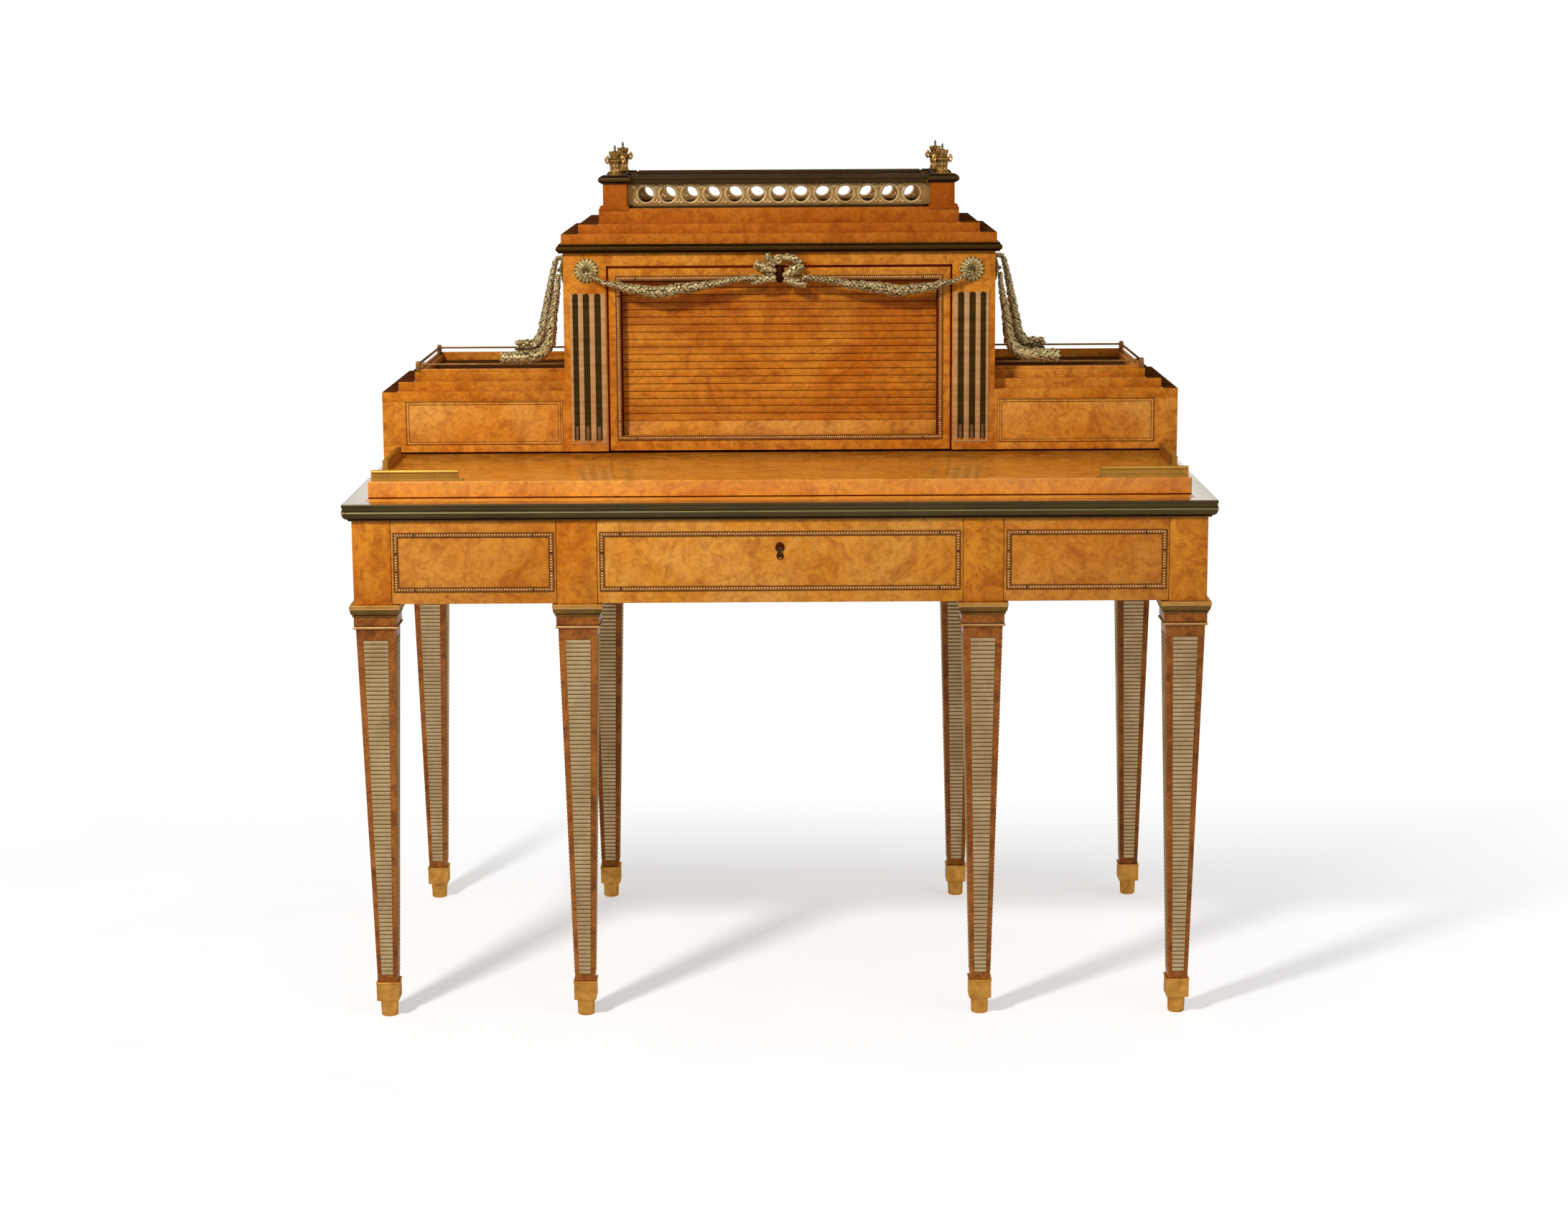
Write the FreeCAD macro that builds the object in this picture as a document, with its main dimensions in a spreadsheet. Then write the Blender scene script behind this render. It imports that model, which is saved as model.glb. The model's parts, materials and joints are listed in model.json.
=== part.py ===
import FreeCAD, Part
import math
import os
from types import SimpleNamespace

# A neoclassical writing desk in burr veneer and gilt bronze, on eight tapering legs, with a
# writing slide, a stepped upper case with two wings and a tambour cabinet under a pierced gallery.
# Lengths are in millimetres. +Z is up, the front faces -Y, +X is to the right of someone who
# sits at it, and the origin is on the floor under the middle of the top.

# Driving dimensions, one group for each part of the desk
SIZES = {
    # Whole desk
    "frieze_width": 1234,
    "frieze_depth": 702,
    "table_height": 775,
    "frieze_height": 123,
    "edge_height": 25,
    "edge_overhang": 12.5,
    "board": 18,
    # Legs: centre distances, shaft, neck, dowel
    "leg_inset": 30,
    "inner_leg_offset": 293.5,
    "leg_top_width": 57,
    "leg_foot_width": 29,
    "leg_neck_width": 62,
    "dowel_radius": 13,
    "dowel_length": 60,
    "socket_clearance": 0.1,
    # Gilt sabots
    "toe_height": 25,
    "toe_floor_radius": 11.8,
    "toe_top_radius": 14,
    "sabot_height": 54,
    "sabot_width": 33,
    "sabot_rim_height": 3,
    "sabot_rim_overhang": 0.8,
    "sabot_pocket_width": 27,
    "sabot_pocket_floor": 33,
    # Capitals and astragals
    "astragal_height": 6,
    "astragal_width": 66,
    "neck_height": 13,
    "capital_width": 72.7,
    "capital_band_height": 6,
    "capital_ovolo_height": 9.5,
    "capital_ovolo_inset": 1,
    "capital_ovolo_radius": 2.8,
    "capital_foot_height": 2.5,
    "capital_foot_overhang": 1.5,
    # Ribbed panels let into the four faces of each leg
    "rib_panel_low_margin": 11,
    "rib_panel_top_margin": 16,
    "rib_panel_foot_width": 17,
    "rib_panel_top_width": 36,
    "rib_panel_thickness": 1.4,
    # Frieze posts and boards
    "outer_stile_width": 55,
    "inner_stile_width": 58,
    "stile_depth": 55,
    # Table top with its bronze border and edge
    "border_width": 30,
    "border_thickness": 1.5,
    "fascia_height": 11,
    "fascia_radius": 1.5,
    "gilt_line_height": 3,
    "gilt_line_overhang": 0.6,
    "gilt_line_radius": 1.3,
    "edge_ovolo_inset": 0.6,
    "edge_ovolo_radius": 8,
    # Frieze drawers
    "drawer_gap": 0.8,
    "drawer_front_thickness": 18,
    "drawer_side_thickness": 10,
    "drawer_bottom_thickness": 6,
    "drawer_rear_gap": 106,
    "drawer_headroom": 14,
    "runner_height": 8,
    "runner_lap": 9,
    "guide_height": 30,
    "running_gap": 0.3,
    "bead_width": 7,
    "bead_proud": 2.4,
    "bead_side_margin": 4,
    "bead_low_margin": 18,
    "bead_top_margin": 18,
    # Lock of the centre drawer
    "keyhole_drop": 46,
    "keyhole_radius": 3.4,
    "keyhole_slot_width": 3.2,
    "keyhole_slot_length": 11,
    "keyhole_depth_in_lock": 9,
    "escutcheon_thickness": 1.2,
    "escutcheon_head_radius": 6,
    "escutcheon_foot_radius": 4.6,
    "escutcheon_waist_width": 6.5,
    "escutcheon_reach": 7,
    "lock_width": 46,
    "lock_depth": 13,
    "lock_case_height": 66,
    "lock_headroom": 5,
    "bolt_width": 24,
    "bolt_thickness": 6,
    "bolt_length": 32,
    "bolt_clearance": 0.4,
    "mortise_depth": 7,
    # Writing slide and its brass rails
    "bearer_width": 16.8,
    "slab_setback": 49,
    "slab_thickness": 24.5,
    "slab_radius": 2.5,
    "slab_side_gap": 1.2,
    "slab_headroom": 3.2,
    "slab_rear_gap": 3,
    "rail_end_inset": 4,
    "rail_setback": 9,
    "front_rail_length": 127,
    "side_rail_front_gap": 112,
    "side_rail_gap": 24,
    "rail_foot_width": 10,
    "rail_foot_height": 3,
    "rail_foot_tongue": 7,
    "rail_web_width": 6,
    "rail_height": 15.4,
    "rail_cap_width": 8.5,
    "rail_cap_height": 3.8,
    # Upper case
    "case_depth": 342,
    "case_base_thickness": 11,
    "case_front_board": 18,
    "case_board": 12,
    "wing_height": 94,
    "wing_top_thickness": 15,
    "first_step_rise": 13.5,
    "first_step_inset": 23,
    "second_step_rise": 13,
    "second_step_inset": 46,
    "tray_wall": 12,
    "tray_floor_thickness": 4,
    # Brass galleries of the wings
    "gallery_inset": 5,
    "gallery_band_height": 5.5,
    "gallery_band_thickness": 3,
    "gallery_post_width": 9,
    "gallery_post_height": 13,
    "gallery_knob_radius": 4.2,
    "gallery_rod_radius": 1.8,
    "gallery_rod_height": 10.8,
    # Wing drawers
    "wing_drawer_side_inset": 36,
    "wing_drawer_inner_inset": 4,
    "wing_front_thickness": 15,
    "wing_side_thickness": 8,
    "wing_drawer_gap": 0.5,
    "wing_drawer_rear_gap": 45,
    "wing_drawer_side_height": 55,
    "wing_bottom_thickness": 5,
    "wing_guide_height": 16,
    "string_width": 6,
    "string_proud": 1,
    # Tambour cabinet
    "cabinet_half_width": 333,
    "cabinet_height": 307,
    "cabinet_back": 10,
    "pilaster_width": 66.5,
    "flute_width": 9,
    "flute_pitch": 16.6,
    "flute_proud": 0.4,
    "flute_low_margin": 14,
    "flute_height": 229,
    "fillet_proud": 1.4,
    "fillet_low_margin": 12,
    "frieze_rail_height": 20,
    "door_gap": 1,
    "door_setback": 1,
    "door_stile_width": 20.5,
    "door_low_rail_height": 23,
    "door_top_rail_height": 22,
    "door_bead_width": 7.5,
    "door_bead_proud": 2,
    # Tambour, its bottom rail and its tracks
    "tambour_lap": 7.5,
    "tambour_gap": 0.5,
    "slat_thickness": 7,
    "slat_pitch": 11.53,
    "slat_joint": 0.7,
    "canvas_thickness": 1,
    "tambour_rail_thickness": 9,
    "tambour_rail_height": 33.7,
    "track_depth": 11,
    "track_back_thickness": 6,
    "track_width": 9,
    "inner_wall": 12,
    "shelf_rise": 126,
    "shelf_thickness": 8,
    "shelf_setback": 6,
    # Cornice and attic
    "cornice_height": 13.5,
    "cornice_overhang": 10,
    "cornice_radius": 6.4,
    "attic_first_rise": 15.5,
    "attic_first_overhang": 2,
    "attic_second_rise": 13.5,
    "attic_second_inset": 23,
    "attic_second_back_inset": 6,
    "attic_third_rise": 22.5,
    "attic_third_inset": 53.5,
    "attic_third_back_inset": 12,
    "post_width": 37,
    "post_height": 38,
    "post_edge": 6.5,
    "post_foot_overhang": 2,
    "post_foot_height": 4,
    "cap_overhang": 7,
    "cap_height": 12.6,
    "cap_radius": 4.5,
    "coping_width": 24,
    "fret_thickness": 4,
    "ring_pitch": 34.1,
    "ring_hole_radius": 11.6,
    "ring_centre_height": 21.5,
    "spandrel_hole_radius": 3.6,
    "spandrel_hole_offset": 12.5,
    "finial_height": 47.5,
    "finial_radius": 13.5,
    # Gilt ornaments
    "rosette_radius": 20,
    "rosette_thickness": 6,
    "rosette_boss_radius": 7,
    "rosette_boss_height": 5,
    "rosette_inset": 36,
    "rosette_drop": 27,
    "side_rosette_setback": 24,
    "side_rosette_back_inset": 26,
    "hanging_gap": 0.3,
    "garland_radius": 8.5,
    "garland_sag": 33,
    "garland_end_offset": 38,
    "bow_half_width": 35,
    "bow_height": 48,
    "bow_top_drop": 1,
    "bow_stand_off": 6.5,
    "bow_knot_radius": 8.5,
    "bow_knot_height": 10,
    "bow_knot_drop": 10,
    "bow_loop_radius": 9.5,
    "bow_loop_strand_radius": 2.8,
    "bow_loop_offset": 19,
    "bow_loop_drop": 14,
    "bow_leaf_radius": 4.6,
    "side_garland_radius": 8,
    "side_garland_start_radius": 2.7,
    "near_garland_reach": 100,
    "far_garland_reach": 104,
    # Overrun of every cutting tool
    "overrun": 2,
}

# The radius of an edge rounded on both sides, as a share of its height
half_round_share = 0.48

DOC = FreeCAD.newDocument("desk")
SHEET = DOC.addObject("Spreadsheet::Sheet", "Sizes")
NODES = []


class Size:
    """A length, kept as a formula of the sheet and as the number that the formula gives."""

    def __init__(self, formula, value):
        self.formula = formula
        self.value = value

    def __add__(self, other):
        other = as_size(other)
        return Size(f"({self.formula} + {other.formula})", self.value + other.value)

    def __sub__(self, other):
        other = as_size(other)
        return Size(f"({self.formula} - {other.formula})", self.value - other.value)

    def __mul__(self, other):
        other = as_size(other)
        return Size(f"({self.formula} * {other.formula})", self.value * other.value)

    def __truediv__(self, other):
        other = as_size(other)
        return Size(f"({self.formula} / {other.formula})", self.value / other.value)

    def __neg__(self):
        return Size(f"(-1 * {self.formula})", -self.value)


def as_size(number):
    if isinstance(number, Size):
        return number
    return Size(f"{number:.9f}", float(number))


def fill_sheet():
    """Write the driving dimensions to the sheet and return them as sizes."""
    sizes = SimpleNamespace()
    for row, (alias, value) in enumerate(SIZES.items(), 1):
        SHEET.set(f"A{row}", alias)
        SHEET.set(f"B{row}", str(value))
        SHEET.setAlias(f"B{row}", alias)
        setattr(sizes, alias, Size(f"Sizes.{alias}", float(value)))
    DOC.recompute()
    return sizes


S = fill_sheet()
ZERO = as_size(0)
X_AXIS = FreeCAD.Vector(1, 0, 0)
Y_AXIS = FreeCAD.Vector(0, 1, 0)
UNIT_BOX_EDGES = Part.makeBox(1, 1, 1).Edges


# Small tools that make bound pieces

def both(middle, width):
    """The two ends of a width about a middle."""
    return middle - width / 2, middle + width / 2


def on_side(side, low, high):
    """The two ends on the right of the desk, or their mirror image on its left."""
    if side > 0:
        return low, high
    return -high, -low


def place(piece, x, y, z):
    for axis, value in zip("xyz", (x, y, z)):
        piece.setExpression(f"Placement.Base.{axis}", as_size(value).formula)


def box(x, y, z):
    """A box between two ends along each axis."""
    piece = DOC.addObject("Part::Box", "board")
    for name, (low, high) in zip(("Length", "Width", "Height"), (x, y, z)):
        piece.setExpression(name, (high - low).formula)
    place(piece, x[0], y[0], z[0])
    return piece


def rod(radius, length, x, y, z, along="z"):
    """A cylinder from a point along +X, +Y or +Z."""
    piece = DOC.addObject("Part::Cylinder", "rod")
    piece.setExpression("Radius", radius.formula)
    piece.setExpression("Height", length.formula)
    if along == "x":
        piece.Placement = FreeCAD.Placement(FreeCAD.Vector(), FreeCAD.Rotation(Y_AXIS, 90))
    if along == "y":
        piece.Placement = FreeCAD.Placement(FreeCAD.Vector(), FreeCAD.Rotation(X_AXIS, -90))
    place(piece, x, y, z)
    return piece


def cone(low_radius, top_radius, height, x, y, z):
    piece = DOC.addObject("Part::Cone", "cone")
    piece.setExpression("Radius1", low_radius.formula)
    piece.setExpression("Radius2", top_radius.formula)
    piece.setExpression("Height", height.formula)
    place(piece, x, y, z)
    return piece


def ball(radius, x, y, z):
    piece = DOC.addObject("Part::Sphere", "ball")
    piece.setExpression("Radius", radius.formula)
    place(piece, x, y, z)
    return piece


def tapered(low_x, low_y, top_x, top_y, z, at_x, at_y):
    """A straight taper from one rectangle to another above it, about a vertical line."""
    piece = DOC.addObject("Part::Wedge", "taper")
    names = {
        "Xmin": low_x[0], "Xmax": low_x[1], "X2min": top_x[0], "X2max": top_x[1],
        "Zmin": -low_y[1], "Zmax": -low_y[0], "Z2min": -top_y[1], "Z2max": -top_y[0],
        "Ymin": z[0], "Ymax": z[1],
    }
    for name, value in names.items():
        piece.setExpression(name, value.formula)
    piece.Placement = FreeCAD.Placement(FreeCAD.Vector(), FreeCAD.Rotation(X_AXIS, 90))
    place(piece, at_x, at_y, ZERO)
    return piece


def fuse(pieces):
    joined = DOC.addObject("Part::MultiFuse", "joined")
    joined.Shapes = pieces
    return joined


def group(pieces):
    together = DOC.addObject("Part::Compound", "together")
    together.Links = pieces
    return together


def cut(base, tool):
    left = DOC.addObject("Part::Cut", "cut")
    left.Base = base
    left.Tool = tool
    return left


def rounded(base, radius, faces):
    """Round the level edges of a box at its top or bottom, or every edge of its front face."""
    numbers = []
    for number, edge in enumerate(UNIT_BOX_EDGES, 1):
        level = edge.Vertexes[0].Z == edge.Vertexes[1].Z
        height = edge.CenterOfMass.z
        in_front = edge.Vertexes[0].Y == 0 and edge.Vertexes[1].Y == 0
        if level and height == 1 and "top" in faces:
            numbers.append(number)
        elif level and height == 0 and "bottom" in faces:
            numbers.append(number)
        elif in_front and "front" in faces:
            numbers.append(number)
    fillet = DOC.addObject("Part::Fillet", "rounded")
    fillet.Base = base
    fillet.Edges = [(number, radius.value, radius.value) for number in numbers]
    return fillet


def node(label, pieces):
    """Name a sub-part, as one piece or as a group of separate like pieces."""
    if len(pieces) == 1:
        whole = pieces[0]
    else:
        whole = group(pieces)
    whole.Label = label
    NODES.append(whole)
    return whole


def frame_bars(x, y, z, width):
    """Four bars round a rectangle in the XZ plane, the level ones running full length."""
    return [
        box(x, y, (z[0], z[0] + width)),
        box(x, y, (z[1] - width, z[1])),
        box((x[0], x[0] + width), y, (z[0] + width, z[1] - width)),
        box((x[1] - width, x[1]), y, (z[0] + width, z[1] - width)),
    ]


def vector(point):
    return FreeCAD.Vector(*[as_size(part).value for part in point])


def swept_tube(points, radii):
    """A tube of changing radius through points, with straight runs between round sections."""
    sections = []
    befores = [points[0], *points[:-1]]
    afters = [*points[1:], points[-1]]
    for before, point, after, radius in zip(befores, points, afters, radii):
        section = DOC.addObject("Part::Circle", "section")
        section.setExpression("Radius", radius.formula)
        turn = FreeCAD.Rotation(Y_AXIS, FreeCAD.Vector(), vector(after) - vector(before), "ZXY")
        section.Placement = FreeCAD.Placement(FreeCAD.Vector(), turn)
        place(section, *point)
        sections.append(section)
    tube = DOC.addObject("Part::Loft", "tube")
    tube.Sections = sections
    tube.Solid = True
    tube.Ruled = True
    return tube


# Levels and planes that several parts share

HALF_WIDTH = S.frieze_width / 2
FRONT = -S.frieze_depth / 2
BACK = S.frieze_depth / 2
FRIEZE_TOP = S.table_height - S.edge_height
FRIEZE_BOTTOM = FRIEZE_TOP - S.frieze_height
KEYHOLE_HEIGHT = FRIEZE_TOP - S.keyhole_drop
CAPITAL_HEIGHT = S.capital_band_height + S.capital_ovolo_height + S.capital_foot_height
NECK_BOTTOM = FRIEZE_BOTTOM - CAPITAL_HEIGHT - S.neck_height
SHAFT_TOP = NECK_BOTTOM - S.astragal_height
SLAB_EDGE = HALF_WIDTH - S.bearer_width - S.slab_side_gap
SLAB_BOTTOM = S.table_height + S.running_gap
SLAB_TOP = SLAB_BOTTOM + S.slab_thickness
CASE_BOTTOM = SLAB_TOP + S.slab_headroom
CASE_FLOOR = CASE_BOTTOM + S.case_base_thickness
CASE_FRONT = BACK - S.case_depth
CASE_INSIDE = CASE_FRONT + S.case_front_board
WING_TOP = CASE_BOTTOM + S.wing_height
WING_CEILING = WING_TOP - S.wing_top_thickness
FIRST_STEP_TOP = WING_TOP + S.first_step_rise
SECOND_STEP_TOP = FIRST_STEP_TOP + S.second_step_rise
CABINET_TOP = CASE_BOTTOM + S.cabinet_height
CABINET_CEILING = CABINET_TOP - S.case_board
CORNICE_TOP = CABINET_TOP + S.cornice_height
ATTIC_FIRST_TOP = CORNICE_TOP + S.attic_first_rise
ATTIC_SECOND_TOP = ATTIC_FIRST_TOP + S.attic_second_rise
ATTIC_FLOOR = ATTIC_SECOND_TOP + S.attic_third_rise
POST_TOP = ATTIC_FLOOR + S.post_height
CAP_TOP = POST_TOP + S.cap_height
CENTRE_EDGE = S.inner_leg_offset - S.inner_stile_width / 2
INNER_EDGE = S.inner_leg_offset + S.inner_stile_width / 2
OUTER_EDGE = HALF_WIDTH - S.outer_stile_width
STILE_BACK = FRONT + S.stile_depth
DOOR_EDGE = S.cabinet_half_width - S.pilaster_width


# Legs with their gilt mounts

def leg_places(y_side):
    """The four leg centres along the front or the back."""
    y = (BACK - S.leg_inset) * y_side
    offsets = (S.leg_inset - HALF_WIDTH, -S.inner_leg_offset,
               S.inner_leg_offset, HALF_WIDTH - S.leg_inset)
    return [(x, y) for x in offsets]


def leg_half_width(z):
    """Half the width of the shaft at a height."""
    share = (z - S.sabot_height) / (SHAFT_TOP - S.sabot_height)
    return S.leg_foot_width / 2 + (S.leg_top_width - S.leg_foot_width) / 2 * share


def leg(x, y):
    foot = both(ZERO, S.leg_foot_width)
    top = both(ZERO, S.leg_top_width)
    shaft = tapered(foot, foot, top, top, (S.sabot_height, SHAFT_TOP), x, y)
    stub = box(both(x, S.sabot_pocket_width), both(y, S.sabot_pocket_width),
               (S.sabot_pocket_floor, S.sabot_height))
    collar = box(both(x, S.leg_top_width), both(y, S.leg_top_width), (SHAFT_TOP, NECK_BOTTOM))
    neck = box(both(x, S.leg_neck_width), both(y, S.leg_neck_width), (NECK_BOTTOM, FRIEZE_BOTTOM))
    dowel = rod(S.dowel_radius, S.dowel_length, x, y, FRIEZE_BOTTOM)
    return fuse([shaft, stub, collar, neck, dowel])


def capital(x, y):
    """A bronze capital round the neck: a flat band, an ovolo and a small foot."""
    band_bottom = FRIEZE_BOTTOM - S.capital_band_height
    ovolo_bottom = band_bottom - S.capital_ovolo_height
    foot_bottom = ovolo_bottom - S.capital_foot_height
    ovolo_width = S.capital_width - S.capital_ovolo_inset * 2
    foot_width = S.leg_neck_width + S.capital_foot_overhang * 2
    band = box(both(x, S.capital_width), both(y, S.capital_width), (band_bottom, FRIEZE_BOTTOM))
    ovolo = box(both(x, ovolo_width), both(y, ovolo_width), (ovolo_bottom, band_bottom))
    foot = box(both(x, foot_width), both(y, foot_width), (foot_bottom, ovolo_bottom))
    core = box(both(x, S.leg_neck_width), both(y, S.leg_neck_width),
               (foot_bottom - S.overrun, FRIEZE_BOTTOM + S.overrun))
    solid = fuse([band, rounded(ovolo, S.capital_ovolo_radius, "bottom"), foot])
    return cut(solid, core)


def astragal(x, y):
    """A half-round bronze ring at the top of the shaft."""
    ring = box(both(x, S.astragal_width), both(y, S.astragal_width), (SHAFT_TOP, NECK_BOTTOM))
    core = box(both(x, S.leg_top_width), both(y, S.leg_top_width),
               (SHAFT_TOP - S.overrun, NECK_BOTTOM + S.overrun))
    return cut(rounded(ring, S.astragal_height * half_round_share, "top bottom"), core)


def rib_panels(x, y):
    """The four tapering plates of one leg, lying on its sloping faces."""
    low = S.sabot_height + S.rib_panel_low_margin
    top = SHAFT_TOP - S.rib_panel_top_margin
    low_face = leg_half_width(low)
    top_face = leg_half_width(top)
    low_across = both(ZERO, S.rib_panel_foot_width)
    top_across = both(ZERO, S.rib_panel_top_width)
    plates = []
    for side in (-1, 1):
        low_out = on_side(side, low_face, low_face + S.rib_panel_thickness)
        top_out = on_side(side, top_face, top_face + S.rib_panel_thickness)
        plates.append(tapered(low_across, low_out, top_across, top_out, (low, top), x, y))
        plates.append(tapered(low_out, low_across, top_out, top_across, (low, top), x, y))
    return plates


def sabot(x, y):
    """A gilt shoe: a round toe under a square cup that takes the end of the leg."""
    rim_width = S.sabot_width + S.sabot_rim_overhang * 2
    rim_bottom = S.sabot_height - S.sabot_rim_height
    toe = cone(S.toe_floor_radius, S.toe_top_radius, S.toe_height, x, y, ZERO)
    cup = box(both(x, S.sabot_width), both(y, S.sabot_width), (S.toe_height, S.sabot_height))
    rim = box(both(x, rim_width), both(y, rim_width), (rim_bottom, S.sabot_height))
    pocket = box(both(x, S.sabot_pocket_width), both(y, S.sabot_pocket_width),
                 (S.sabot_pocket_floor, S.sabot_height + S.overrun))
    return cut(fuse([toe, cup, rim]), pocket)


def build_legs():
    front = leg_places(-1)
    back = leg_places(1)
    node("front_legs", [leg(x, y) for x, y in front])
    node("back_legs", [leg(x, y) for x, y in back])
    mounts = [capital(x, y) for x, y in front + back]
    mounts += [astragal(x, y) for x, y in front + back]
    node("leg_capitals", mounts)
    plates = []
    for x, y in front + back:
        plates += rib_panels(x, y)
    node("leg_rib_panels", plates)
    node("leg_sabots", [sabot(x, y) for x, y in front + back])


# Frieze under the top

def build_frieze():
    z = (FRIEZE_BOTTOM, FRIEZE_TOP)
    stiles = []
    for y_side in (-1, 1):
        y = on_side(-y_side, FRONT, STILE_BACK)
        for x, leg_y in leg_places(y_side):
            if abs(x.value) < S.inner_leg_offset.value + S.inner_stile_width.value:
                across = both(x, S.inner_stile_width)
            elif x.value > 0:
                across = (OUTER_EDGE, HALF_WIDTH)
            else:
                across = (-HALF_WIDTH, -OUTER_EDGE)
            socket = rod(S.dowel_radius + S.socket_clearance, S.dowel_length + S.overrun * 2,
                         x, leg_y, FRIEZE_BOTTOM - S.overrun)
            stiles.append(cut(box(across, y, z), socket))
    node("frieze_stiles", stiles)
    back = (BACK - S.board, BACK)
    boards = [box((-CENTRE_EDGE, CENTRE_EDGE), back, z)]
    partitions = []
    for side in (-1, 1):
        boards.append(box(on_side(side, INNER_EDGE, OUTER_EDGE), back, z))
        boards.append(box(on_side(side, HALF_WIDTH - S.board, HALF_WIDTH),
                          (STILE_BACK, -STILE_BACK), z))
        middle = S.inner_leg_offset * side
        partitions.append(box(both(middle, S.board), (STILE_BACK, -STILE_BACK), z))
    node("frieze_boards", boards)
    node("drawer_partitions", partitions)


def build_runners():
    """Runners under the drawer sides and guides beside them, on the partitions and ends."""
    y = (STILE_BACK, -STILE_BACK)
    under = (FRIEZE_BOTTOM, FRIEZE_BOTTOM + S.runner_height)
    beside = (under[1], under[1] + S.guide_height)
    partition_in = S.inner_leg_offset - S.board / 2
    partition_out = S.inner_leg_offset + S.board / 2
    end_face = HALF_WIDTH - S.board
    strips = []
    for side in (-1, 1):
        strips.append(box(on_side(side, CENTRE_EDGE - S.runner_lap, partition_in), y, under))
        strips.append(box(on_side(side, CENTRE_EDGE, partition_in), y, beside))
        strips.append(box(on_side(side, partition_out, INNER_EDGE + S.runner_lap), y, under))
        strips.append(box(on_side(side, partition_out, INNER_EDGE), y, beside))
        strips.append(box(on_side(side, OUTER_EDGE - S.runner_lap, end_face), y, under))
        strips.append(box(on_side(side, OUTER_EDGE, end_face), y, beside))
    node("drawer_runners", strips)


# Table top and its bronze edge

def build_table_top():
    land_bottom = S.table_height - S.border_thickness
    edge_x = HALF_WIDTH + S.edge_overhang
    edge_y = BACK + S.edge_overhang
    lining_x = edge_x - S.border_width
    lining_y = edge_y - S.border_width
    bolt_y = lock_middle()
    mortise = box(both(ZERO, S.bolt_width + S.bolt_clearance * 4),
                  both(bolt_y, S.bolt_thickness + S.bolt_clearance * 4),
                  (FRIEZE_TOP - S.overrun, FRIEZE_TOP + S.mortise_depth))
    core = box((-HALF_WIDTH, HALF_WIDTH), (FRONT, BACK), (FRIEZE_TOP, land_bottom))
    lining = box((-lining_x, lining_x), (-lining_y, lining_y), (land_bottom, S.table_height))
    node("table_top", [cut(core, mortise), lining])

    def ring(half_x, half_y, z, inner_x, inner_y, radius, faces):
        outer = box((-half_x, half_x), (-half_y, half_y), z)
        inner = box((-inner_x, inner_x), (-inner_y, inner_y), (z[0] - S.overrun, z[1] + S.overrun))
        return cut(rounded(outer, radius, faces), inner)

    fascia_bottom = S.table_height - S.fascia_height
    line_bottom = fascia_bottom - S.gilt_line_height
    fascia = ring(edge_x, edge_y, (fascia_bottom, S.table_height), HALF_WIDTH, BACK,
                  S.fascia_radius, "top")
    land = box((-HALF_WIDTH - S.overrun, HALF_WIDTH + S.overrun),
               (FRONT - S.overrun, BACK + S.overrun), (land_bottom, S.table_height))
    hole = box((-lining_x, lining_x), (-lining_y, lining_y),
               (land_bottom - S.overrun, S.table_height + S.overrun))
    fascia_and_land = fuse([fascia, cut(land, hole)])
    ovolo_x = edge_x - S.edge_ovolo_inset
    ovolo_y = edge_y - S.edge_ovolo_inset
    ovolo = ring(ovolo_x, ovolo_y, (FRIEZE_TOP, line_bottom), HALF_WIDTH, BACK,
                 S.edge_ovolo_radius, "bottom")
    node("table_edge_moulding", [fascia_and_land, ovolo])
    line_x = edge_x + S.gilt_line_overhang
    line_y = edge_y + S.gilt_line_overhang
    node("table_edge_line", [ring(line_x, line_y, (line_bottom, fascia_bottom), HALF_WIDTH, BACK,
                                  S.gilt_line_radius, "top bottom")])


# Frieze drawers

def drawer_box(x, y, z, side, bottom):
    """Two sides, a back and a bottom behind a drawer front, as separate boards."""
    inner = (x[0] + side, x[1] - side)
    return [
        box((x[0], x[0] + side), y, z),
        box((x[1] - side, x[1]), y, z),
        box(inner, (y[1] - side, y[1]), z),
        box(inner, (y[0], y[1] - side), (z[0], z[0] + bottom)),
    ]


def bead_frame(x):
    """The beaded bronze frame on a drawer front between two edges."""
    x_ends = (x[0] + S.bead_side_margin, x[1] - S.bead_side_margin)
    z_ends = (FRIEZE_BOTTOM + S.bead_low_margin, FRIEZE_TOP - S.bead_top_margin)
    return frame_bars(x_ends, (FRONT - S.bead_proud, FRONT), z_ends, S.bead_width)


def drawer_front(x):
    return box((x[0] + S.drawer_gap, x[1] - S.drawer_gap),
               (FRONT, FRONT + S.drawer_front_thickness),
               (FRIEZE_BOTTOM + S.drawer_gap, FRIEZE_TOP - S.drawer_gap))


def frieze_drawer_box(x):
    low = FRIEZE_BOTTOM + S.runner_height + S.running_gap
    y_front = FRONT + S.drawer_front_thickness
    return drawer_box((x[0] + S.drawer_gap, x[1] - S.drawer_gap),
                      (y_front, BACK - S.board - S.drawer_rear_gap),
                      (low, FRIEZE_TOP - S.drawer_headroom),
                      S.drawer_side_thickness, S.drawer_bottom_thickness)


def lock_middle():
    """The depth of the middle of the lock and its bolt."""
    return FRONT + S.drawer_front_thickness + S.lock_depth / 2


def keyhole(y_low, y_high):
    """A round hole over a slot, as a tool that runs from one depth to another."""
    round_part = rod(S.keyhole_radius, y_high - y_low, ZERO, y_low, KEYHOLE_HEIGHT, "y")
    slot = box(both(ZERO, S.keyhole_slot_width), (y_low, y_high),
               (KEYHOLE_HEIGHT - S.keyhole_slot_length, KEYHOLE_HEIGHT))
    return fuse([round_part, slot])


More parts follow.
